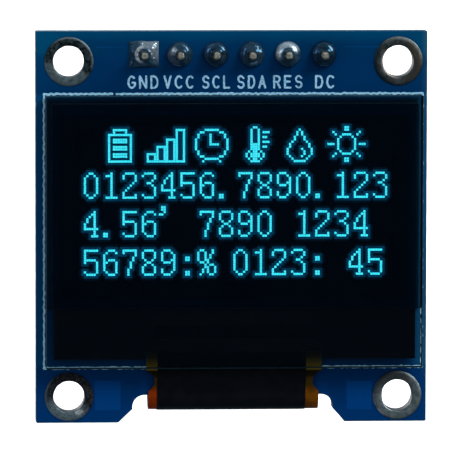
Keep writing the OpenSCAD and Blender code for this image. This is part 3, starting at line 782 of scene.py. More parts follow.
FILM_X = 0.0
cx = [FILM_X + (i - 7) * 0.7 for i in range(15)]
px = [(i - 2.5) * PITCH for i in range(6)]
tracks = [
    [(px[0], 11.2), (px[0], 10.4), (-7.4, 9.3), (-8.05, 9.3)],
    [(px[1], 11.2), (px[1], 9.0), (-5.0, 8.4)],
    [(px[2], 11.2), (px[2], 9.8), (-0.4, 8.9), (-0.4, 0.4), (cx[8], -2.0), (cx[8], -6.5)],
    [(px[3], 11.2), (px[3], 8.5), (1.2, 8.4)],
    [(px[3], 10.2), (0.6, 9.6), (0.3, 9.0), (0.3, 0.8), (cx[9], -1.6), (cx[9], -6.5)],
    [(px[4], 11.2), (px[4], 9.0), (3.4, 8.4)],
    [(px[4], 10.2), (5.2, 8.8), (5.2, 0.6), (cx[10], -1.9), (cx[10], -6.5)],
    [(px[5], 11.2), (px[5], 9.6), (7.7, 8.4)],
    [(px[5], 10.0), (6.0, 9.2), (6.0, 1.4), (cx[11], -1.6), (cx[11], -3.0)],
    [(7.75, 6.7), (6.9, 6.7), (6.9, 0.9), (4.3, -1.7), (cx[12], -2.4), (cx[12], -3.0)],
    [(9.45, 5.0), (10.4, 4.1), (10.4, -2.4), (7.5, -3.3)],
    [(1.2, 6.75), (1.2, 1.8), (cx[7], 0.2), (cx[7], -6.5)],
    [(-1.9, 6.2), (-1.9, 1.0), (cx[5], 0.0), (cx[5], -6.5)],
    [(-9.8, 4.9), (-10.9, 3.8), (-10.9, -3.4), (-6.6, -7.0)],
    [(-8.0, 4.9), (-7.0, 3.9), (-5.2, 2.2), (-5.2, -3.3)],
    [(-2.7, -3.3), (-2.7, -1.4), (cx[4], -0.9), (cx[4], -2.6)],
    [(-5.2, -5.05), (-5.2, -6.0), (cx[0], -6.5)],
    [(-2.7, -5.05), (-2.7, -5.7), (cx[3], -6.5)],
    [(2.5, -5.05), (2.5, -5.6), (cx[11], -6.5)],
    [(5.0, -5.05), (5.0, -5.7), (cx[14], -6.5)],
]
for t in tracks:
    track(t)
for z0, z1, x0, x1 in ((-13.2, -8.9, -9.7, -7.6), (-13.2, -8.9, 7.6, 9.7), (9.0, 13.5, -10.0, -9.0), (-8.6, 1.9, -13.4, -11.6), (-8.6, 9.3, 11.6, 13.2), (-1.2, 5.6, -4.4, -2.6)):
    relief(rrect(x0, x1, z0, z1, 0.25), 0.022, 5, back=True)
vias = [(-7.4, 1.2), (-3.4, 4.2), (-0.9, 3.1), (2.2, 3.9), (4.1, 0.9), (6.0, 1.2), (8.6, 0.4), (-10.2, 1.1), (-7.7, -2.3), (-0.6, -3.2), (9.2, -7.5), (-9.4, -7.6), (3.6, 5.2), (12.3, 2.2), (-12.4, 0.6), (-3.4, 0.2)]
for vx, vz in vias:
    lathe(sh, vx, vz, [(0.14, -0.02), (0.14, 0.02), (0.18, 0.036), (0.3, 0.036), (0.34, 0.02), (0.36, -0.01)], 20, 5)
sh.build("circuit_board", [mask_front, edge_mat, mask_back, mask_pour, mask_bare, mask_pour], ["pcb"], "board")


# ---------------------------------------------------------------- tinned screw holes
def plating(name, cx_, cz_, mat, seed, rough_amp, swell, lips=()):
    """Ring and barrel; the tin stands in a low rounded bead, lower over some sectors."""
    front = []
    for k in range(13):
        t = k / 12
        r = 1.13 + (1.75 - 1.13) * t
        h = 0.045 * (1 - (1 - t) ** 6) * (1 - t ** 8) + swell * math.sin(math.pi * t) ** 0.8
        front.append((r, -1.6 - max(0.0, h) + (0.006 if k == 12 else 0.0)))
    prof = [(1.10, -0.8), (1.10, -1.46), (1.106, -1.55)] + front
    n_f = len(prof)
    prof += [(1.73, -1.58), (1.15, -1.57), (1.15, -0.03), (1.73, -0.02), (1.75, 0.0), (1.74, 0.025), (1.69, 0.045),
             (1.50, 0.05), (1.35, 0.045), (1.2, 0.035), (1.14, 0.0), (1.112, -0.06), (1.10, -0.14)]
    def wob(a, r, y, k):
        if 3 <= k < n_f or n_f + 4 <= k < n_f + 9:
            x, z = math.cos(a) * r, math.sin(a) * r
            t = min(1.0, max(0.0, (r - 1.10) / 0.65))
            d = n3(x * 2.6 + seed, z * 2.6, seed) * rough_amp + n3(x * 7 + seed, z * 7, seed + 3) * rough_amp * 0.5
            d *= math.sin(math.pi * min(1.0, t * 0.9 + 0.1))
            dr = 0.02 * n3(math.cos(a) * 3 + seed, math.sin(a) * 3, 9.0) * (1 - t) if k < n_f else 0.0
            if k < n_f:
                for la, lw, lo_ in lips:
                    da = (a - math.radians(la) + math.pi) % (2 * math.pi) - math.pi
                    dr -= lo_ * math.exp(-(da / lw) ** 2) * (1 - t) ** 3
            return (dr, (d if y < -0.8 else -abs(d) * 0.6))
        return (0.02 * n3(math.cos(a) * 3 + seed, math.sin(a) * 3, 9.0) if k in (1, 2) else 0.0, 0.0)
    s = Shells()
    mats = [1 if (k in (0, 1, 2) or k >= len(prof) - 3) else 0 for k in range(len(prof))]
    lathe(s, cx_, cz_, prof, 160, mats, wob)
    return s.build(name, [mat, barrel], [name.replace("ring_", "hole_plating_")], "tinned_ring")


plating("ring_top_left", -HX, HZ, tin_rough, 1.3, 0.022, 0.020, [(0, 0.8, 0.085), (-60, 0.4, 0.04)])
plating("ring_top_right", HX, HZ, tin_smooth, 5.1, 0.006, 0.040)
plating("ring_bottom_left", -HX, -HZ, tin_speck, 9.7, 0.022, 0.024, [(-70, 0.5, 0.06), (-20, 0.4, 0.03)])
plating("ring_bottom_right", HX, -HZ, tin_grey, 14.2, 0.006, 0.040, [(0, 0.6, 0.07), (180, 0.6, 0.06)])


# ---------------------------------------------------------------- header
def pin(i):
    x = (i - 3.5) * PITCH
    w, y0, y1 = 0.32, FRONT - 1.5, FRONT - 1.5 + 11.6
    r = random.Random(i)
    s = Shells()
    rows = [(y0, w - 0.17), (y0 + 0.03, w - 0.145), (y0 + 0.18, w - 0.085), (y0 + 0.33, w - 0.012), (y0 + 0.36, w),
            (y0 + 0.9, w), (FRONT, w), (0, w), (2.54, w), (2.6, w), (4.5, w), (6.5, w), (y1 - 0.37, w), (y1 - 0.34, w - 0.012), (y1 - 0.18, w - 0.09), (y1 - 0.02, w - 0.15), (y1, w - 0.175)]
    lx, lz = r.uniform(-0.02, 0.02), r.uniform(-0.02, 0.02)
    loops3 = []
    for y, k in rows:
        t = max(0, (FRONT - y)) / 1.5
        loops3.append([(x + px_ + lx * t, y, PIN_Z + pz_ + lz * t) for px_, pz_ in rrect(-k, k, -k, k, min(0.06, k * 0.4), 3)])
    n0 = len(s.f)
    rings(s, loops3, 0, False)
    m = len(loops3[0])
    per = m
    for a in range(len(rows) - 1):
        for q in range(per):
            s.m[n0 + a * per + q] = 1 if rows[a + 1][0] <= FRONT else 0
    s.m[n0 + (len(rows) - 1) * per] = 1
    return s.build(f"pin_{i}", [pin_gold, pin_tip], [f"header_pin_{i}"], "pin_metal", auto_smooth=25)


for i in range(1, 7):
    pin(i)

sh = Shells()
outline, nn, hh = [], 0.95, 1.25
for i in range(6):
    c = (i - 2.5) * PITCH
    outline += [(c - PITCH / 2, PIN_Z - nn), (c - 0.77, PIN_Z - hh), (c + 0.77, PIN_Z - hh)]
outline.append((2.5 * PITCH + PITCH / 2, PIN_Z - nn))
for i in reversed(range(6)):
    c = (i - 2.5) * PITCH
    outline += [(c + PITCH / 2, PIN_Z + nn), (c + 0.77, PIN_Z + hh), (c - 0.77, PIN_Z + hh)]
outline.append((-2.5 * PITCH - PITCH / 2, PIN_Z + nn))
outline = divide(outline, 0.35)
sq = [rrect((i - 2.5) * PITCH - 0.33, (i - 2.5) * PITCH + 0.33, PIN_Z - 0.33, PIN_Z + 0.33, 0.03, 2) for i in range(6)]
plate(sh, [outline] + sq, 0.06, 2.54, 0.07, (0, 0, 0), steps=3)
for i in range(6):
    for sx in (-1, 1):
        block(sh, (i - 2.5) * PITCH + sx * 0.62 - 0.14, (i - 2.5) * PITCH + sx * 0.62 + 0.14, 0.0, 0.1, PIN_Z - 0.75, PIN_Z + 0.75, 0.02)
sh.build("header_body", [header_mat], ["header_strip"], "header_plastic")


# ---------------------------------------------------------------- solder joints on the front
def joint(i, h, n_, q, lumps, lean, square=None, crumple=0.0, rim=None):
    """A domed joint: steep at its foot, gently rounded above, drawn up a little round the pin."""
    x = (i - 3.5) * PITCH
    s = Shells()
    n, rows, f_in = 112, 34, 0.40
    loops3 = []
    top = (1 - f_in ** n_) ** q
    for k in range(-1, rows + 1):
        u = max(0.0, k / rows)
        g = math.cos(u * math.pi / 2) ** 1.0 if u < 1 else 0.0
        f = f_in + (1 - f_in) * g
        lift = (1 - f ** n_) ** q / top
        loop = []
        for j in range(n):
            a = 2 * math.pi * j / n
            ca, sa = math.cos(a), math.sin(a)
            rr = 0.915
            if square:
                rr = ((abs(ca) / square[0]) ** 9 + (abs(sa) / square[1]) ** 9) ** (-1 / 9)
            for amp, order, phase in lumps:
                rr += amp * math.cos(order * a + phase)
            e = min(0.335 / max(abs(ca), abs(sa), 1e-6), 0.40)
            r_ = e + (rr - e) * g
            hh = h * lift
            if square:
                hh *= 1 - 0.25 * max(0.0, rr - 0.95) / 0.35 * g
            hh += 0.09 * math.exp(-(r_ - e) / 0.05)
            px_, pz_ = r_ * ca, r_ * sa
            hh += (n3(px_ * 2.1 + i * 3.1, pz_ * 2.1, i * 1.7) * 0.05 + n3(px_ * 4.5 + i, pz_ * 4.5, i * 2.3) * crumple) * min(1.0, (1 - g) * 4) * min(1.0, u * 3)
            if rim:
                for rx, rz, ra, rw, rh in rim:
                    d = math.hypot(px_ - rx, pz_ - rz)
                    hh += rh * math.exp(-((d - ra) / rw) ** 2) * min(1.0, (1 - g) * 6)
            yy = FRONT - hh + (0.02 if k < 0 else 0.0)
            loop.append((x + px_ + lean[0] * lift, yy, PAD_Z + pz_ + lean[1] * lift - 0.06 * lift))
        loops3.append(loop)
    rings(s, loops3, 0, True)
    return s


shapes = {
    1: (0.50, 2.4, 0.85, [(0.02, 3, 0.6)], (0.0, -0.02), (1.02, 0.92), 0.10, [(-0.20, 0.05, 0.48, 0.10, 0.10), (0.62, 0.42, 0.0, 0.22, 0.14)]),
    2: (0.66, 4.0, 0.56, [(0.012, 2, 0.3), (0.010, 3, 1.6)], (0.0, 0.0), None, 0.015, [(-0.46, 0.28, 0.0, 0.16, 0.05)]),
    3: (0.68, 4.4, 0.56, [(0.010, 2, 1.1), (0.008, 5, 0.2)], (0.0, 0.0), None, 0.006, None),
    4: (0.62, 4.0, 0.60, [(0.014, 2, 2.0), (0.012, 3, 0.4)], (0.0, 0.0), None, 0.015, [(0.56, 0.42, 0.0, 0.14, -0.05)]),
    5: (0.74, 3.6, 0.56, [(0.008, 2, 0.8), (0.006, 4, 0.3)], (0.0, 0.0), None, 0.004, None),
    6: (0.66, 4.6, 0.56, [(0.010, 2, 2.7), (0.008, 3, 2.4)], (0.0, 0.0), None, 0.006, None),
}
for i in range(1, 7):
    s = joint(i, *shapes[i])
    x = (i - 3.5) * PITCH
    if i == 1:
        pts = rrect(x - 1.05, x + 1.05, PAD_Z - 0.92, PAD_Z + 0.92, 0.06, 3, 0.15, 0.02, 4.0)
        plate(s, [pts], FRONT - 0.05, FRONT + 0.01, 0.045, (0, 0, 0), back_bevel=0.0, steps=4, smooth_edge=True)
        for sx, sz, rr in ((-0.86, 0.74, 0.09), (-0.92, -0.72, 0.09), (0.08, -0.66, 0.07)):
            lathe(s, x + sx, PAD_Z + sz, [(0.001, FRONT - 0.20), (rr * 0.5, FRONT - 0.18), (rr * 0.85, FRONT - 0.14), (rr, FRONT - 0.08), (rr, FRONT - 0.02), (0.001, FRONT - 0.02)], 20, 0)
    # fill of the hole and the small ring on the back
    lathe(s, x, PAD_Z, [(0.34, FRONT + 0.05), (0.545, FRONT + 0.05), (0.545, -0.02), (0.85, -0.01), (0.86, 0.02), (0.8, 0.045), (0.45, 0.05), (0.34, 0.05)], 40, 0)
    s.build(f"solder_{i}", [joint_highlight_mats[i]], [f"solder_joint_{i}"], "solder")


# ---------------------------------------------------------------- printed legend
def wavy(p, q, amp, period, seed):
    d = math.hypot(q[0] - p[0], q[1] - p[1])
    k = int(d / 0.08)
    nx, nz = -(q[1] - p[1]) / d, (q[0] - p[0]) / d
    out = []
    for j in range(k + 1):
        t = j / k
        o = amp * math.sin(2 * math.pi * d * t / period) + 0.02 * n3(t * d * 1.7 + seed, seed)
        out.append((p[0] + (q[0] - p[0]) * t + nx * o, p[1] + (q[1] - p[1]) * t + nz * o))
    return out


sh = Shells()
SX0, SX1, SZ0, SZ1 = -13.39, 13.35, -9.82, 9.57
SY = FRONT - 0.02
ribbon(sh, wavy((SX0, SZ1), (-8.58, SZ1), 0.018, 0.42, 1), 0.15, SY, FRONT + 0.004, 0, 0.05, 1.0)
ribbon(sh, wavy((-8.26, SZ1), (SX1, SZ1), 0.018, 0.42, 2), 0.15, SY, FRONT + 0.004, 0, 0.05, 2.0)
ribbon(sh, wavy((SX0, SZ1), (SX0, SZ0), 0.020, 0.66, 3), 0.12, SY + 0.001, FRONT + 0.004, 0, 0.04, 3.0)
ribbon(sh, wavy((SX1, SZ1), (SX1, SZ0), 0.024, 0.68, 4), 0.12, SY + 0.001, FRONT + 0.004, 0, 0.05, 4.0)
ribbon(sh, wavy((SX0, SZ0), (-6.1, SZ0), 0.01, 0.9, 5), 0.19, SY, FRONT + 0.004, 0, 0.06, 5.0)
ribbon(sh, wavy((6.35, SZ0), (SX1, SZ0), 0.01, 0.9, 6), 0.19, SY, FRONT + 0.004, 0, 0.06, 6.0)


def arc(cx_, cz_, rx, rz, a0, a1, n=14):
    return [(cx_ + rx * math.cos(math.radians(a0 + (a1 - a0) * k / n)), cz_ + rz * math.sin(math.radians(a0 + (a1 - a0) * k / n))) for k in range(n + 1)]


STROKES = {
    "G": [arc(0.52, 0.5, 0.52, 0.5, 48, 338, 20) + [(1.0, 0.46), (0.62, 0.46)]],
    "N": [[(0.02, 0), (0.02, 1)], [(0.02, 1), (0.98, 0)], [(0.98, 0), (0.98, 1)]],
    "D": [[(0.02, 0), (0.02, 1)], [(0.02, 1), (0.45, 1)] + arc(0.45, 0.5, 0.53, 0.5, 88, -88, 14) + [(0.45, 0), (0.02, 0)]],
    "V": [[(0.0, 1), (0.5, 0)], [(0.5, 0), (1.0, 1)]],
    "C": [arc(0.54, 0.5, 0.54, 0.5, 48, 312, 20)],
    "S": [[(0.95, 0.84)] + arc(0.5, 0.75, 0.45, 0.25, 45, 250, 12) + arc(0.5, 0.25, 0.48, 0.25, 70, -150, 12)],
    "L": [[(0.03, 1), (0.03, 0)], [(0.03, 0), (0.95, 0)]],
    "A": [[(0.0, 0), (0.5, 1)], [(0.5, 1), (1.0, 0)], [(0.2, 0.34), (0.8, 0.34)]],
    "R": [[(0.03, 0), (0.03, 1)], [(0.03, 1), (0.5, 1)] + arc(0.5, 0.75, 0.44, 0.25, 88, -88, 10) + [(0.5, 0.5), (0.03, 0.5)], [(0.5, 0.5), (0.98, 0)]],
    "E": [[(0.03, 0), (0.03, 1)], [(0.03, 1), (0.95, 1)], [(0.03, 0.52), (0.8, 0.52)], [(0.03, 0), (0.95, 0)]],
}
SW = 0.14
for word, x0, x1 in (("GND", -7.50, -5.31), ("VCC", -4.96, -2.81), ("SCL", -2.25, -0.24), ("SDA", 0.22, 2.28), ("RES", 2.76, 4.86), ("DC", 5.72, 7.13)):
    gap = 0.20
    n = len(word)
    w = (x1 - x0 - SW * n - gap * (n - 1)) / n
    for k, ch in enumerate(word):
        ox = x0 + SW / 2 + k * (w + SW + gap)
        for q, stroke in enumerate(STROKES[ch]):
            pts = [(ox + px_ * w, 9.92 + SW / 2 + pz_ * (0.95 - SW)) for px_, pz_ in stroke]
            ribbon(sh, pts, SW, FRONT - 0.02 - 0.0015 * q, FRONT + 0.004, 1, 0.03, k + x0, step=0.08)
sh.build("legend", [ink_line, ink], ["silkscreen"], "legend")

# ---------------------------------------------------------------- display panel
GX0, GX1, GZ0, GZ1 = -13.3, 13.3, -9.76, 9.5
G_BACK, G_FRONT = -2.35, -3.05
sh = Shells()
plate(sh, [rrect(GX0, GX1, GZ0, GZ1, 0.06, 3, 0.5, 0.02, 2.0)], G_FRONT, G_BACK, 0.05, (0, 1, 0), steps=2)
sh.build("front_glass", [glass_face, glass_rim], ["display_glass"], "glass")

sh = Shells()
plate(sh, [rrect(GX0 + 0.02, GX1 - 0.02, GZ1 - 15.1, GZ1 - 0.02, 0.06, 3, 0.5, 0.02, 8.0)], -2.30, -1.80, 0.04, (0, 1, 0), steps=2)
sh.build("cap_glass", [cap_face, cap_rim], ["display_cap_glass"], "glass")

sh = Shells()
PX, PZ = 0.03, 1.75
plate(sh, [rrect(PX - 12.94, PX + 12.94, PZ - 7.25, PZ + 7.25, 0.12, 4, 0.6, 0.012, 5.0)], -3.25, -3.053, 0.05, (0, 1, 0), steps=3)
sh.build("polariser", [polar_face, polar_rim], ["display_polarizer"], "polariser")

sh = Shells()
outer = rrect(GX0 + 0.03, GX1 - 0.03, GZ1 - 15.07, GZ1 - 0.03, 0.05, 3, 0.5, 0.03, 3.0)
inner = rrect(-12.2, 12.4, GZ1 - 14.1, GZ1 - 1.1, 0.3, 4, 0.5, 0.05, 6.0)
plate(sh, [outer, inner], -2.345, -2.305, 0.0, (0, 0, 0))
sh.build("seal_frame", [seal_mat], ["display_seal"], "seal")

AX, AZ, CELL = 0.10, 1.88, 0.17
sh = Shells()
block(sh, AX - 11.07, AX + 11.07, -2.343, -2.305, AZ - 5.63, AZ + 5.63, 0.01)
sh.build("emitter_stack", [emit_dark], ["display_emitter"], "emitter")

# what the screen shows: own figures on an 8 by 16 cell, and six plain pictograms
DIGITS = {
    "0": "...##... ..#..#.. .#....#. .#....#. .#....#. .#....#. .#....#. .#....#. .#....#. ..#..#.. ...##...",
    "1": "....#... ..###... ....#... ....#... ....#... ....#... ....#... ....#... ....#... ....#... ..#####.",
    "2": "..####.. .#....#. .#....#. ......#. .....#.. ....#... ...#.... ..#..... .#...... .#....#. .######.",
    "3": "..####.. .#....#. ......#. .....#.. ...##... .....#.. ......#. ......#. ......#. .#....#. ..####..",
    "4": ".....#.. ....##.. ...#.#.. ..#..#.. ..#..#.. .#...#.. .#...#.. .######. .....#.. .....#.. ....###.",
    "5": ".######. .#...... .#...... .#...... .#####.. .#....#. ......#. ......#. ......#. .#....#. ..####..",
    "6": "...###.. ..#...#. .#...... .#...... .#.###.. .##...#. .#....#. .#....#. .#....#. ..#...#. ...###..",
    "7": ".######. .#....#. ......#. .....#.. .....#.. ....#... ....#... ....#... ...#.... ...#.... ...#....",
    "8": "..####.. .#....#. .#....#. .#....#. ..#..#.. ...##... ..#..#.. .#....#. .#....#. .#....#. ..####..",
    "9": "..###... .#...#.. .#....#. .#....#. .#...##. ..###.#. ......#. ......#. .#....#. .#...#.. ..###...",
    ".": "........ ........ ........ ........ ........ ........ ........ ........ ........ .##..... .##.....",
    ":": "........ ........ ........ ...##... ...##... ........ ........ ........ ........ ...##... ...##...",
    "%": ".##...#. #..#..#. #..#.#.. #..#.#.. #..##... .##.#... ...#.##. ...##..# ..#.#..# ..#.#..# .#...##.",
}
APOS = [(1, 1), (2, 1), (1, 2), (2, 2), (2, 3), (0, 4), (1, 4)]
ICONS = [
    # battery
    """................
.....######.....
.....#....#.....
...##########...
...#........#...
...#.######.#...
...#.######.#...
...#........#...
...#.######.#...
...#.######.#...
...#........#...
...#.######.#...
...#.######.#...
...#........#...
...##########...
................""",
    # bars
    """................
............####
............#..#
............#..#
............#..#
........#####..#
........#..##..#
........#..##..#
....#####..##..#
....#..##..##..#
....#..##..##..#
#####..##..##..#
#..##..##..##..#
#..##..##..##..#
################
................""",
    # clock
    """................
.....######.....
...##......##...
..#....#.....#..
..#....#.....#..
.#.....#......#.
.#.....#......#.
.#.....####...#.
.#............#.
.#............#.
..#..........#..
..#..........#..
...##......##...
.....######.....
....#......#....
................""",
    # thermometer
    """.......##.......
......#..#......
......#..#.###..
......#..#......
......#..#.##...
......#..#......
......#..#.###..
......####......
......####.##...
......####......
.....#.##.#.....
....#.####.#....
....#.####.#....
.....#.##.#.....
......####......
................""",
    # drop
    """................
.......#........
......#.#.......
......#.#.......
.....#...#......
.....#...#......
....#.....#.....
...#.......#....
...#.......#....
..#.....#...#...
..#......#..#...
..#......#..#...
...#....#..#....
....#.....#.....
.....#####......
................""",
    # sun
    """.......##.......
.......##.......
..#..........#..
...#..####..#...
.....#....#.....
....#......#....
....#......#....
###.#......#.###
....#......#....
....#......#....
.....#....#.....
...#..####..#...
..#..........#..
.......##.......
.......##.......
................""",
]
cells = set()
for k, icon in enumerate(ICONS):
    for r, row in enumerate(icon.split("\n")):
        for c, ch in enumerate(row):
            if ch == "#":
                cells.add((8 + 19 * k + c - (k > 2), r))


def put(text, col, row):
    for k, ch in enumerate(text):
        if ch == "'":
            cells.update((col + 8 * k + c, row + r) for c, r in APOS)
        elif ch != " ":
            for r, bits in enumerate(DIGITS[ch].split(" ")):
                for c, b in enumerate(bits):
                    if b == "#":
                        cells.add((col + 8 * k + c, row + 3 + r))


put("0123456.7890.123", 0, 16)
put("4.56' 7890 1234", 0, 32)
put("56789:%", 0, 48)
put("0123: 45", 62, 48)
sh = Shells()
h = CELL / 2 * 0.93
for c, r in sorted(cells):
    x, z = AX + (c - 63.5) * CELL, AZ - (r - 31.5) * CELL
    k = 0.02
    pts = [(x - h, z - h + k), (x - h + k, z - h), (x + h - k, z - h), (x + h, z - h + k), (x + h, z + h - k), (x + h - k, z + h), (x - h + k, z + h), (x - h, z + h - k)]
    rings(sh, [[(p, -2.3485, q) for p, q in pts], [(p, -2.3435, q) for p, q in pts]], 0, False)
sh.build("lit_elements", [lit_mat], [], "emitter")

# painted glow round the lit cells: near and far rings of unlit cells made to glow
near = {(c + i, r + j) for c, r in cells for i, j in ((1, 0), (-1, 0), (0, 1), (0, -1), (1, 1), (1, -1), (-1, 1), (-1, -1))} - cells
far = {(c + i, r + j) for c, r in cells for i in (-2, -1, 0, 1, 2) for j in (-2, -1, 0, 1, 2) if abs(i) + abs(j) < 4} - cells - near
sh = Shells()
for group, mat_i in ((near, 0), (far, 1)):
    for c, r in sorted(group):
        if -1 <= c <= 128 and -1 <= r <= 64:
            x, z = AX + (c - 63.5) * CELL, AZ - (r - 31.5) * CELL
            g = CELL / 2 * 0.97
            pts = [(x - g, z - g), (x + g, z - g), (x + g, z + g), (x - g, z + g)]
            rings(sh, [[(p, -2.3475, q) for p, q in pts], [(p, -2.3445, q) for p, q in pts]], mat_i, False)
sh.build("spilt_light", [glow_near, glow_far], [], "emitter")

sh = Shells()
plate(sh, [rrect(-9, 9, AZ - 4, AZ + 4, 0.3, 4)], -2.16, -2.06, 0.02, (0, 0, 0), steps=2)
sh.build("drying_card", [sheet_mat], ["desiccant_sheet"], "drying_sheet")

sh = Shells()
block(sh, -5.7, 5.7, -2.348, -2.055, -7.65, -6.75, 0.015)
sh.build("driver_die", [silicon_mat], ["driver_chip"], "silicon")

# sealing compound behind the ledge, with an uneven flowed rim, open round the tail
TAIL_TOP = -8.66
pot = divide([(-12.75, -9.18), (-6.3, -9.18), (-6.3, TAIL_TOP), (6.3, TAIL_TOP), (6.3, -9.18), (12.83, -9.18), (12.83, -5.63), (-12.75, -5.63)], 0.2, 0.03, 2.0, 1.4)
sh = Shells()
plate(sh, [pot, rrect(-5.71, 5.71, -7.66, -6.74, 0.02, 2)], -2.347, -2.045, 0.0, (0, 0, 0))
plate(sh, [pot], -2.05, -1.94, 0.0, (0, 0, 0), back_bevel=0.09, steps=4, smooth_edge=True)
sh.build("potting", [potting_mat], ["ledge_potting"], "potting")

sh = Shells()
plate(sh, [divide(rrect(-12.3, 12.4, GZ1 - 14.5, GZ1 - 1.4, 0.1, 3), 0.3, 0.05, 9.0, 2.0)], -1.797, -1.603, 0.03, (0, 0, 0), steps=2)
sh.build("foam_pad", [foam_mat], ["foam_tape"], "foam")

# ---------------------------------------------------------------- flexible tail
FT, CT = 0.1, 0.05
Y_GLASS, Y_FRONT, Y_BACK, Y_PADS = -2.25, -1.76, 0.16, 0.10
BR, BY, BZ = 0.96, -0.80, NZ - 0.08
LEAVE, MEET, TAIL_END = -9.86, -11.7, -7.2


def tail_path(end):
    p = [(Y_GLASS, TAIL_TOP - 0.3 * k, -1.0, 0.0) for k in range(4)]
    for k in range(25):
        t = k / 24
        z = LEAVE + (MEET - LEAVE) * t
        y = Y_GLASS + (Y_FRONT - Y_GLASS) * t * t * (3 - 2 * t)
        d = (Y_FRONT - Y_GLASS) * 6 * t * (1 - t) / (MEET - LEAVE)
        s = math.sqrt(1 + d * d)
        p.append((y, z, -1 / s, d / s))
    for k in range(41):
        a = math.pi * k / 40
        p.append((BY - BR * math.cos(a), BZ - BR * math.sin(a), -math.cos(a), -math.sin(a)))
    for k in range(1, 13):
        t = k / 12
        z = BZ + 1.2 * t
        y = Y_BACK + (Y_PADS - Y_BACK) * t * t * (3 - 2 * t)
        d = (Y_PADS - Y_BACK) * 6 * t * (1 - t) / 1.2
        s = math.sqrt(1 + d * d)
        p.append((y, z, 1 / s, -d / s))
    z = BZ + 1.2
    while z + 0.3 < end:
        z += 0.3
        p.append((Y_PADS, z, 1.0, 0.0))
    p.append((Y_PADS, end, 1.0, 0.0))
    # extra rows where the sides are cut out
    out = [p[0]]
    for a, b in zip(p, p[1:]):
        k = max(1, int(math.hypot(b[0] - a[0], b[1] - a[1]) / 0.06)) if -11.8 < b[1] < -9.7 and b[0] < BY else 1
        for j in range(1, k + 1):
            t = j / k
            out.append(tuple(a[q] + (b[q] - a[q]) * t for q in range(4)))
    return out


def film_edge(y, z, side):
    """Half width of the film: full at the glass, drilled in at the waist, narrower below and behind."""
    x = 6.2 if (y < BY and z > -10.75) else 6.025
    if y < BY and abs(z + 10.75) < 0.76:
        x = min(x, 6.35 - math.sqrt(0.76 ** 2 - (z + 10.75) ** 2))
    return FILM_X + side * x + side * 0.012 * n3(z * 3, side * 4.0, y)


def band(sh_, path, xl, xr, o0, o1, cols, mat, puff=0.0):
    m = cols + 1
    verts, faces = [], []
    for off in (o0, o1):
        for r_, (y, z, ny, nz) in enumerate(path):
            a, b = xl(y, z), xr(y, z)
            for c in range(m):
                u = c / cols
                x = a + (b - a) * u
                o = off
                if off == o1:
                    edge = min(1.0, min(u, 1 - u) * (b - a) / 0.05)
                    o = off - 0.012 * (1 - edge) + puff * n3(x * 0.9, z * 1.1 + y, 2.2)
                verts.append((x, y + ny * o, z + nz * o))
    nr = len(path)
    k = nr * m
    for r_ in range(nr - 1):
        for c in range(cols):
            q = r_ * m + c
            faces.append((q, q + 1, q + m + 1, q + m))
            faces.append((k + q, k + q + m, k + q + m + 1, k + q + 1))
        q = r_ * m
        faces.append((q, q + m, k + q + m, k + q))
        q += cols
        faces.append((q, k + q, k + q + m, q + m))
    for c in range(cols):
        faces.append((c, k + c, k + c + 1, c + 1))
        q = (nr - 1) * m + c
        faces.append((q, q + 1, k + q + 1, k + q))
    sh_.add(verts, faces, mat, True)


path = tail_path(TAIL_END)
sh = Shells()
band(sh, path, lambda y, z: film_edge(y, z, -1), lambda y, z: film_edge(y, z, 1), -FT / 2, FT / 2, 40, 0, 0.004)
# tinned fingers at the soldered end
for i in range(15):
    x = FILM_X + (i - 7) * 0.7
    block(sh, x - 0.17, x + 0.17, Y_PADS + 0.04, Y_PADS + 0.068, TAIL_END - 1.45, TAIL_END - 0.02, 0.012, 1)
sh.build("tail_film", [amber_mat, solder_back], ["flex_tail"], "amber_film", auto_smooth=50)
sh = Shells()
band(sh, tail_path(TAIL_END - 1.6), lambda y, z: -0.16 - 5.25 + 0.008 * n3(z * 2, 1, y), lambda y, z: -0.16 + 5.25 + 0.008 * n3(z * 2, 5, y), FT / 2 + 0.001, FT / 2 + CT - 0.001, 36, 0, 0.003)
sh.build("tail_cover", [cover_mat], ["flex_cover"], "black_film", auto_smooth=50)

sh = Shells()
for i in range(15):
    x = FILM_X + (i - 7) * 0.7
    r = random.Random(40 + i)
    pts = rrect(x - 0.18, x + 0.18, TAIL_END - 1.1, TAIL_END + 0.75, 0.05, 3)
    plate(sh, [pts], -0.01, 0.05, 0.0, (0, 0, 0), back_bevel=0.02, steps=2)
    loops3 = []
    for k in range(9):
        t = k / 8
        z0 = TAIL_END - 0.35 + t * (0.98 + r.uniform(-0.05, 0.05))
        hgt = 0.05 + (0.14 + 0.03 * r.random()) * math.sin(math.pi * min(1, t * 0.9 + 0.1)) ** 0.7
        wd = 0.165 * (0.75 + 0.25 * math.sin(math.pi * t)) + 0.005 * r.random()
        base = 0.045 if z0 > TAIL_END else Y_PADS + 0.05
        loop = []
        for j in range(12):
            a = math.pi * j / 11
            loop.append((x + wd * math.cos(a), base + (max(hgt, base + 0.03 - 0.0) - base + 0.02) * math.sin(a), z0))
        loops3.append(loop)
    rings(sh, loops3, 0, True)
sh.build("tail_joints", [solder_back], ["tail_solder"], "solder")


# ---------------------------------------------------------------- parts on the back
def placed(src, dst, cx_, cz_, turn):
    """Copies shells into another, turned about Y and moved."""
    a = math.radians(turn)
    ca, sa = math.cos(a), math.sin(a)
    n = len(dst.v)
    dst.v += [(cx_ + x * ca + z * sa, y, cz_ - x * sa + z * ca) for x, y, z in src.v]
    dst.f += [tuple(i + n for i in f) for f in src.f]
    dst.m += src.m
    dst.s += src.s


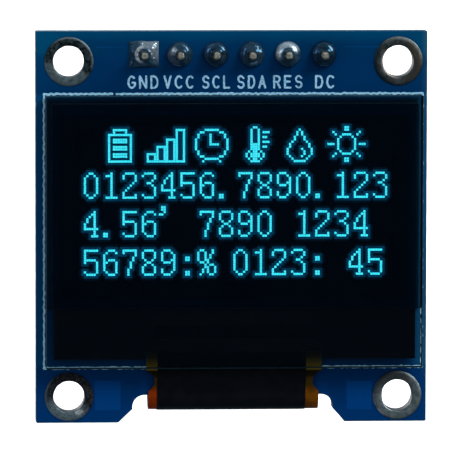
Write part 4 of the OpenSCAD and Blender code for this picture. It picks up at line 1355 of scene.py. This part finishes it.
def prism(sh_, poly, a, b, mat=0, axis="z", smooth=False, ease=0.02):
    """A closed outline in depth and one direction, made solid along the other."""
    loops3 = []
    cy = sum(p[0] for p in poly) / len(poly)
    cu = sum(p[1] for p in poly) / len(poly)
    for t, k in ((a, 1 - ease * 2), (a + ease, 1.0), (b - ease, 1.0), (b, 1 - ease * 2)):
        loop = []
        for y, u in poly:
            yy, uu = cy + (y - cy) * k, cu + (u - cu) * k
            loop.append((uu, yy, t) if axis == "z" else (t, yy, uu))
        loops3.append(loop)
    rings(sh_, loops3, mat, smooth)


CAP_AT = [(-8.9, 2.9, 0), (-8.9, 9.3, 0), (-5.2, -4.2, 90), (-2.7, -4.2, 90), (2.5, -4.2, 90), (5.0, -4.2, 90), (-5.0, 7.6, 90)]
RES_AT = [(8.6, 8.4, 0), (8.6, 6.7, 0), (8.6, 5.0, 0), (8.6, 3.3, 0), (3.4, 7.6, 90), (1.2, 7.6, 90), (7.5, -4.2, 90)]
pads = Shells()


def fillet(dst, s, hgt, w, seed):
    """Solder drawn up a terminal's end, hollow in section."""
    r = random.Random(seed)
    poly = []
    L = 0.34 + r.uniform(-0.03, 0.03)
    for k in range(9):
        t = k / 8
        poly.append((0.045 + hgt * (1 - t) ** 2.2, s * (0.80 + L * t)))
    poly += [(0.03, s * (0.8 + L)), (0.03, s * 0.72), (0.045 + hgt, s * 0.72)]
    prism(dst, poly, -w / 2 + 0.01, w / 2 - 0.01, 0, "z", True, 0.03)


def chip_part(name, at, hgt, body, top, node, slot, seed):
    r = random.Random(seed)
    part = Shells()
    if top:
        block(part, -0.5, 0.5, 0.07, hgt + 0.03, -0.38, 0.38, 0.02, 0)
        block(part, -0.46, 0.46, hgt + 0.02, hgt + 0.045, -0.355, 0.355, 0.012, 2)
    else:
        block(part, -0.5, 0.5, 0.07, hgt + 0.03, -0.38, 0.38, 0.05, 0, 3)
    for s in (-1, 1):
        a, b = sorted((s * 0.45, s * 0.8))
        block(part, a, b, 0.05, hgt + 0.05, -0.4, 0.4, 0.07 if not top else 0.04, 1, 4)
    fil = Shells()
    for s in (-1, 1):
        fillet(fil, s, hgt * 0.62, 0.78, seed * 3 + s)
        pts = rrect(s * 0.85 - 0.4, s * 0.85 + 0.4, -0.45, 0.45, 0.05, 3)
        plate(fil, [pts], -0.01, 0.05, 0.0, (0, 0, 0), back_bevel=0.025, steps=2)
    t = r.uniform(-1.2, 1.2)
    whole = Shells()
    placed(part, whole, at[0], at[1], at[2] + t)
    placed(fil, pads, at[0], at[1], at[2])
    whole.build(name, [body, solder_back] + ([top] if top else []), [node], slot, auto_smooth=40)


for i, at in enumerate(CAP_AT):
    chip_part(f"cap_{i + 1}", at, 0.8, cap_body, None, f"capacitor_{i + 1}", "capacitor_ceramic", 10 + i)
for i, at in enumerate(RES_AT):
    chip_part(f"res_{i + 1}", at, 0.45, res_body, res_top, f"resistor_{i + 1}", "resistor_ceramic", 30 + i)


def gull(dst, w, s, z0, x):
    """One gull-wing leg: foot, two bends and shoulder."""
    mid = [(0.11, 0.82), (0.11, 0.56), (0.14, 0.48), (0.48, 0.30), (0.58, 0.24), (0.61, 0.14), (0.61, -0.02)]
    loops3 = []
    for k, (y, u) in enumerate(mid):
        a, b = mid[max(0, k - 1)], mid[min(len(mid) - 1, k + 1)]
        d = Vector((b[0] - a[0], b[1] - a[1])).normalized()
        ny, nu = -d.y * 0.06, d.x * 0.06
        loops3.append([(x - w / 2, y + ny, s * (z0 + u + nu)), (x + w / 2, y + ny, s * (z0 + u + nu)), (x + w / 2, y - ny, s * (z0 + u - nu)), (x - w / 2, y - ny, s * (z0 + u - nu))])
    rings(dst, loops3, 1, False)


def moulded(dst, hx, hz, y0, ym, y1, draft, r=0.06):
    loops3 = []
    for y, k in ((y0, draft), (ym - 0.02, 0.0), (ym + 0.02, 0.0), (y1 - 0.03, draft - 0.02), (y1, draft + 0.02)):
        loops3.append([(p, y, q) for p, q in rrect(-hx + k, hx - k, -hz + k, hz - k, r, 4)])
    rings(dst, loops3, 0, False)


sh, part = Shells(), Shells()
moulded(part, 1.45, 0.66, 0.11, 0.55, 1.10, 0.08)
for s, x in ((1, 0.0), (-1, -0.95), (-1, 0.95)):
    gull(part, 0.4, s, 0.5, x)
placed(part, sh, -8.9, 6.1, 0)
sh.build("regulator_chip", [mould_mat, solder_back], ["regulator"], "moulding", auto_smooth=30)
sh, part = Shells(), Shells()
moulded(part, 0.65, 0.9, 0.11, 0.55, 1.0, 0.08)
block(part, -0.55, 0.55, 0.995, 1.004, 0.45, 0.62, 0.003, 2, 1)
for s in (1, -1):
    gull(part, 0.5, s, 0.72, 0.0)
placed(part, sh, -1.9, 7.6, 0)
sh.build("diode_chip", [mould_mat, solder_back, ink], ["diode"], "moulding", auto_smooth=30)
foot = Shells()
for dx, dz, w, l in ((0, 1.2, 0.7, 0.9), (-0.95, -1.2, 0.7, 0.9), (0.95, -1.2, 0.7, 0.9)):
    pts = rrect(-8.9 + dx - w / 2, -8.9 + dx + w / 2, 6.1 + dz - l / 2, 6.1 + dz + l / 2, 0.05, 3)
    plate(foot, [pts], -0.01, 0.05, 0.0, (0, 0, 0), back_bevel=0.025, steps=2)
for s in (-1, 1):
    pts = rrect(-2.3, -1.5, 7.6 + s * 1.35 - 0.4, 7.6 + s * 1.35 + 0.4, 0.05, 3)
    plate(foot, [pts], -0.01, 0.05, 0.0, (0, 0, 0), back_bevel=0.025, steps=2)
placed(foot, pads, 0, 0, 0)
pads.build("back_solder", [solder_back], ["smd_solder"], "solder", auto_smooth=40)

# ---------------------------------------------------------------- floor, light, camera
floor = bpy.data.meshes.new("floor")
bm = bmesh.new()
bmesh.ops.create_grid(bm, x_segments=8, y_segments=8, size=4.0)
bm.to_mesh(floor)
bm.free()
fl = bpy.data.objects.new("floor", floor)
fl.location = (0, 0, BOTTOM * MM - 0.00001)
scene.collection.objects.link(fl)
m = bpy.data.materials.new("floor_white")
m.use_nodes = True
m.node_tree.nodes["Principled BSDF"].inputs["Base Color"].default_value = (0.9, 0.9, 0.9, 1)
m.node_tree.nodes["Principled BSDF"].inputs["Roughness"].default_value = 1.0
m.node_tree.nodes["Principled BSDF"].inputs["Specular IOR Level"].default_value = 0.0
m.node_tree.nodes["Principled BSDF"].inputs["Emission Color"].default_value = (1.0, 1.0, 1.0, 1)
m.node_tree.nodes["Principled BSDF"].inputs["Emission Strength"].default_value = 0.9
floor.materials.append(m)
fl.visible_glossy = False
fl.visible_diffuse = False

world = bpy.data.worlds.new("studio")
scene.world = world
world.cycles.sampling_method = "NONE"
world.use_nodes = True
wt = world.node_tree
wt.nodes.clear()


def wn(kind, **kw):
    n = wt.nodes.new(kind)
    for k, v in kw.items():
        setattr(n, k, v)
    return n


def wset(s, v):
    if isinstance(v, (int, float, tuple)):
        s.default_value = v
    else:
        wt.links.new(v, s)


def wmath(op, a, b=0.0):
    n = wn("ShaderNodeMath", operation=op)
    wset(n.inputs[0], a)
    wset(n.inputs[1], b)
    return n.outputs[0]


def wramp(v, a, b, c=0.0, d=1.0):
    n = wn("ShaderNodeMapRange", interpolation_type="SMOOTHSTEP")
    wset(n.inputs["Value"], v)
    for k, x in (("From Min", a), ("From Max", b), ("To Min", c), ("To Max", d)):
        n.inputs[k].default_value = x
    return n.outputs[0]


def wdot(vec):
    n = wn("ShaderNodeVectorMath", operation="DOT_PRODUCT")
    wt.links.new(direction, n.inputs[0])
    n.inputs[1].default_value = vec
    return n.outputs["Value"]


def wcol(color, k):
    n = wn("ShaderNodeVectorMath", operation="SCALE")
    n.inputs[0].default_value = color
    wset(n.inputs["Scale"], k)
    return n.outputs[0]


def wadd(a, b):
    n = wn("ShaderNodeVectorMath", operation="ADD")
    wt.links.new(a, n.inputs[0])
    wt.links.new(b, n.inputs[1])
    return n.outputs[0]


def soft_box(centre, spin, hu, hv, soft, color, strength):
    """A square light with soft rims, as mirrors see it."""
    c = Vector(centre).normalized()
    u = c.cross(Vector((0, 0, 1))).normalized()
    v = u.cross(c)
    a = math.radians(spin)
    e1, e2 = u * math.cos(a) + v * math.sin(a), -u * math.sin(a) + v * math.cos(a)
    f = wramp(wmath("ABSOLUTE", wdot(tuple(e1))), hu + soft, hu)
    f = wmath("MULTIPLY", f, wramp(wmath("ABSOLUTE", wdot(tuple(e2))), hv + soft, hv))
    f = wmath("MULTIPLY", f, wramp(wdot(tuple(c)), 0.0, 0.1))
    return wcol(color, wmath("MULTIPLY", f, strength))


direction = wn("ShaderNodeTexCoord").outputs["Generated"]
up = wdot((0, 0, 1))
fwd = wdot((0, -1, 0))
# what mirrors see: dark in front of the object, lighter above, a window up to the right
glossy = wadd(wcol((0.003, 0.012, 0.028), 1.0), wcol((0.020, 0.060, 0.100), wramp(fwd, 0.9, 0.3, 0.0, 1.0)))
glossy = wadd(glossy, wcol((0.80, 0.95, 1.0), wramp(up, 0.30, 1.0, 0.0, 0.07)))
glossy = wadd(glossy, wcol((0.95, 0.98, 1.0), wmath("MULTIPLY", wramp(fwd, 0.0, -0.6, 0.0, 0.45), wramp(up, -0.5, 0.3, 0.25, 1.0))))
glossy = wadd(glossy, wcol((0.95, 0.98, 1.0), wramp(wdot(tuple(Vector((0.62, -0.62, 0.48)).normalized())), 0.66, 0.98, 0.0, 0.14)))
glossy = wadd(glossy, soft_box((0.718, -0.259, 0.646), 20, 0.18, 0.22, 0.09, (1.0, 1.0, 1.0), 7.0))
glossy = wadd(glossy, soft_box((-0.78, -0.47, 0.414), 0, 0.15, 0.19, 0.12, (0.66, 0.84, 1.0), 1.3))
glossy = wadd(glossy, soft_box((-0.5, 0.8, 0.35), 0, 0.30, 0.35, 0.15, (1.0, 1.0, 1.0), 1.6))
diffuse = wcol((1.0, 1.0, 1.0), wramp(up, -0.2, 0.9, 0.37, 0.88))

key = bpy.data.lights.new("key", "AREA")
key.shape, key.size, key.size_y = "RECTANGLE", 0.22, 0.22
key.energy = 2.0
key_ob = bpy.data.objects.new("key", key)
key_at = Vector((0.60, -0.52, 0.61)).normalized() * 0.55
key_ob.location = key_at
key_ob.rotation_euler = key_at.to_track_quat("Z", "Y").to_euler()
key_ob.visible_glossy = False
key_ob.visible_camera = False
scene.collection.objects.link(key_ob)

lp = wn("ShaderNodeLightPath")
bg_g, bg_d, bg_c = wn("ShaderNodeBackground"), wn("ShaderNodeBackground"), wn("ShaderNodeBackground")
wt.links.new(glossy, bg_g.inputs["Color"])
wt.links.new(diffuse, bg_d.inputs["Color"])
bg_c.inputs["Color"].default_value = (1, 1, 1, 1)
mx1, mx2 = wn("ShaderNodeMixShader"), wn("ShaderNodeMixShader")
wt.links.new(lp.outputs["Is Glossy Ray"], mx1.inputs[0])
wt.links.new(bg_d.outputs[0], mx1.inputs[1])
wt.links.new(bg_g.outputs[0], mx1.inputs[2])
wt.links.new(lp.outputs["Is Camera Ray"], mx2.inputs[0])
wt.links.new(mx1.outputs[0], mx2.inputs[1])
wt.links.new(bg_c.outputs[0], mx2.inputs[2])
wt.links.new(mx2.outputs[0], wn("ShaderNodeOutputWorld").inputs["Surface"])

YAW, PITCH_A, ROLL, F_PX, DIST = math.radians(3.69), math.radians(4.924), math.radians(0.095), 5950.94, 0.420
back = Vector((-math.sin(YAW) * math.cos(PITCH_A), -math.cos(YAW) * math.cos(PITCH_A), math.sin(PITCH_A)))
right = (-back).cross(Vector((0, 0, 1))).normalized()
upv = right.cross(-back)
rr, uu = math.cos(ROLL) * right + math.sin(ROLL) * upv, -math.sin(ROLL) * right + math.cos(ROLL) * upv
cam = bpy.data.cameras.new("camera")
cam.sensor_fit = "HORIZONTAL"
cam.sensor_width = 36.0
cam.lens = F_PX * 36.0 / 458.0
cam.clip_start, cam.clip_end = 0.01, 50.0
co = bpy.data.objects.new("camera", cam)
scene.collection.objects.link(co)
loc = Vector((0, -0.0016, 0)) + back * DIST - rr * (4.61 / F_PX * DIST)

from mathutils import Matrix
co.matrix_world = Matrix(((rr.x, uu.x, back.x, loc.x), (rr.y, uu.y, back.y, loc.y), (rr.z, uu.z, back.z, loc.z), (0, 0, 0, 1)))
scene.camera = co

bpy.context.view_layer.update()
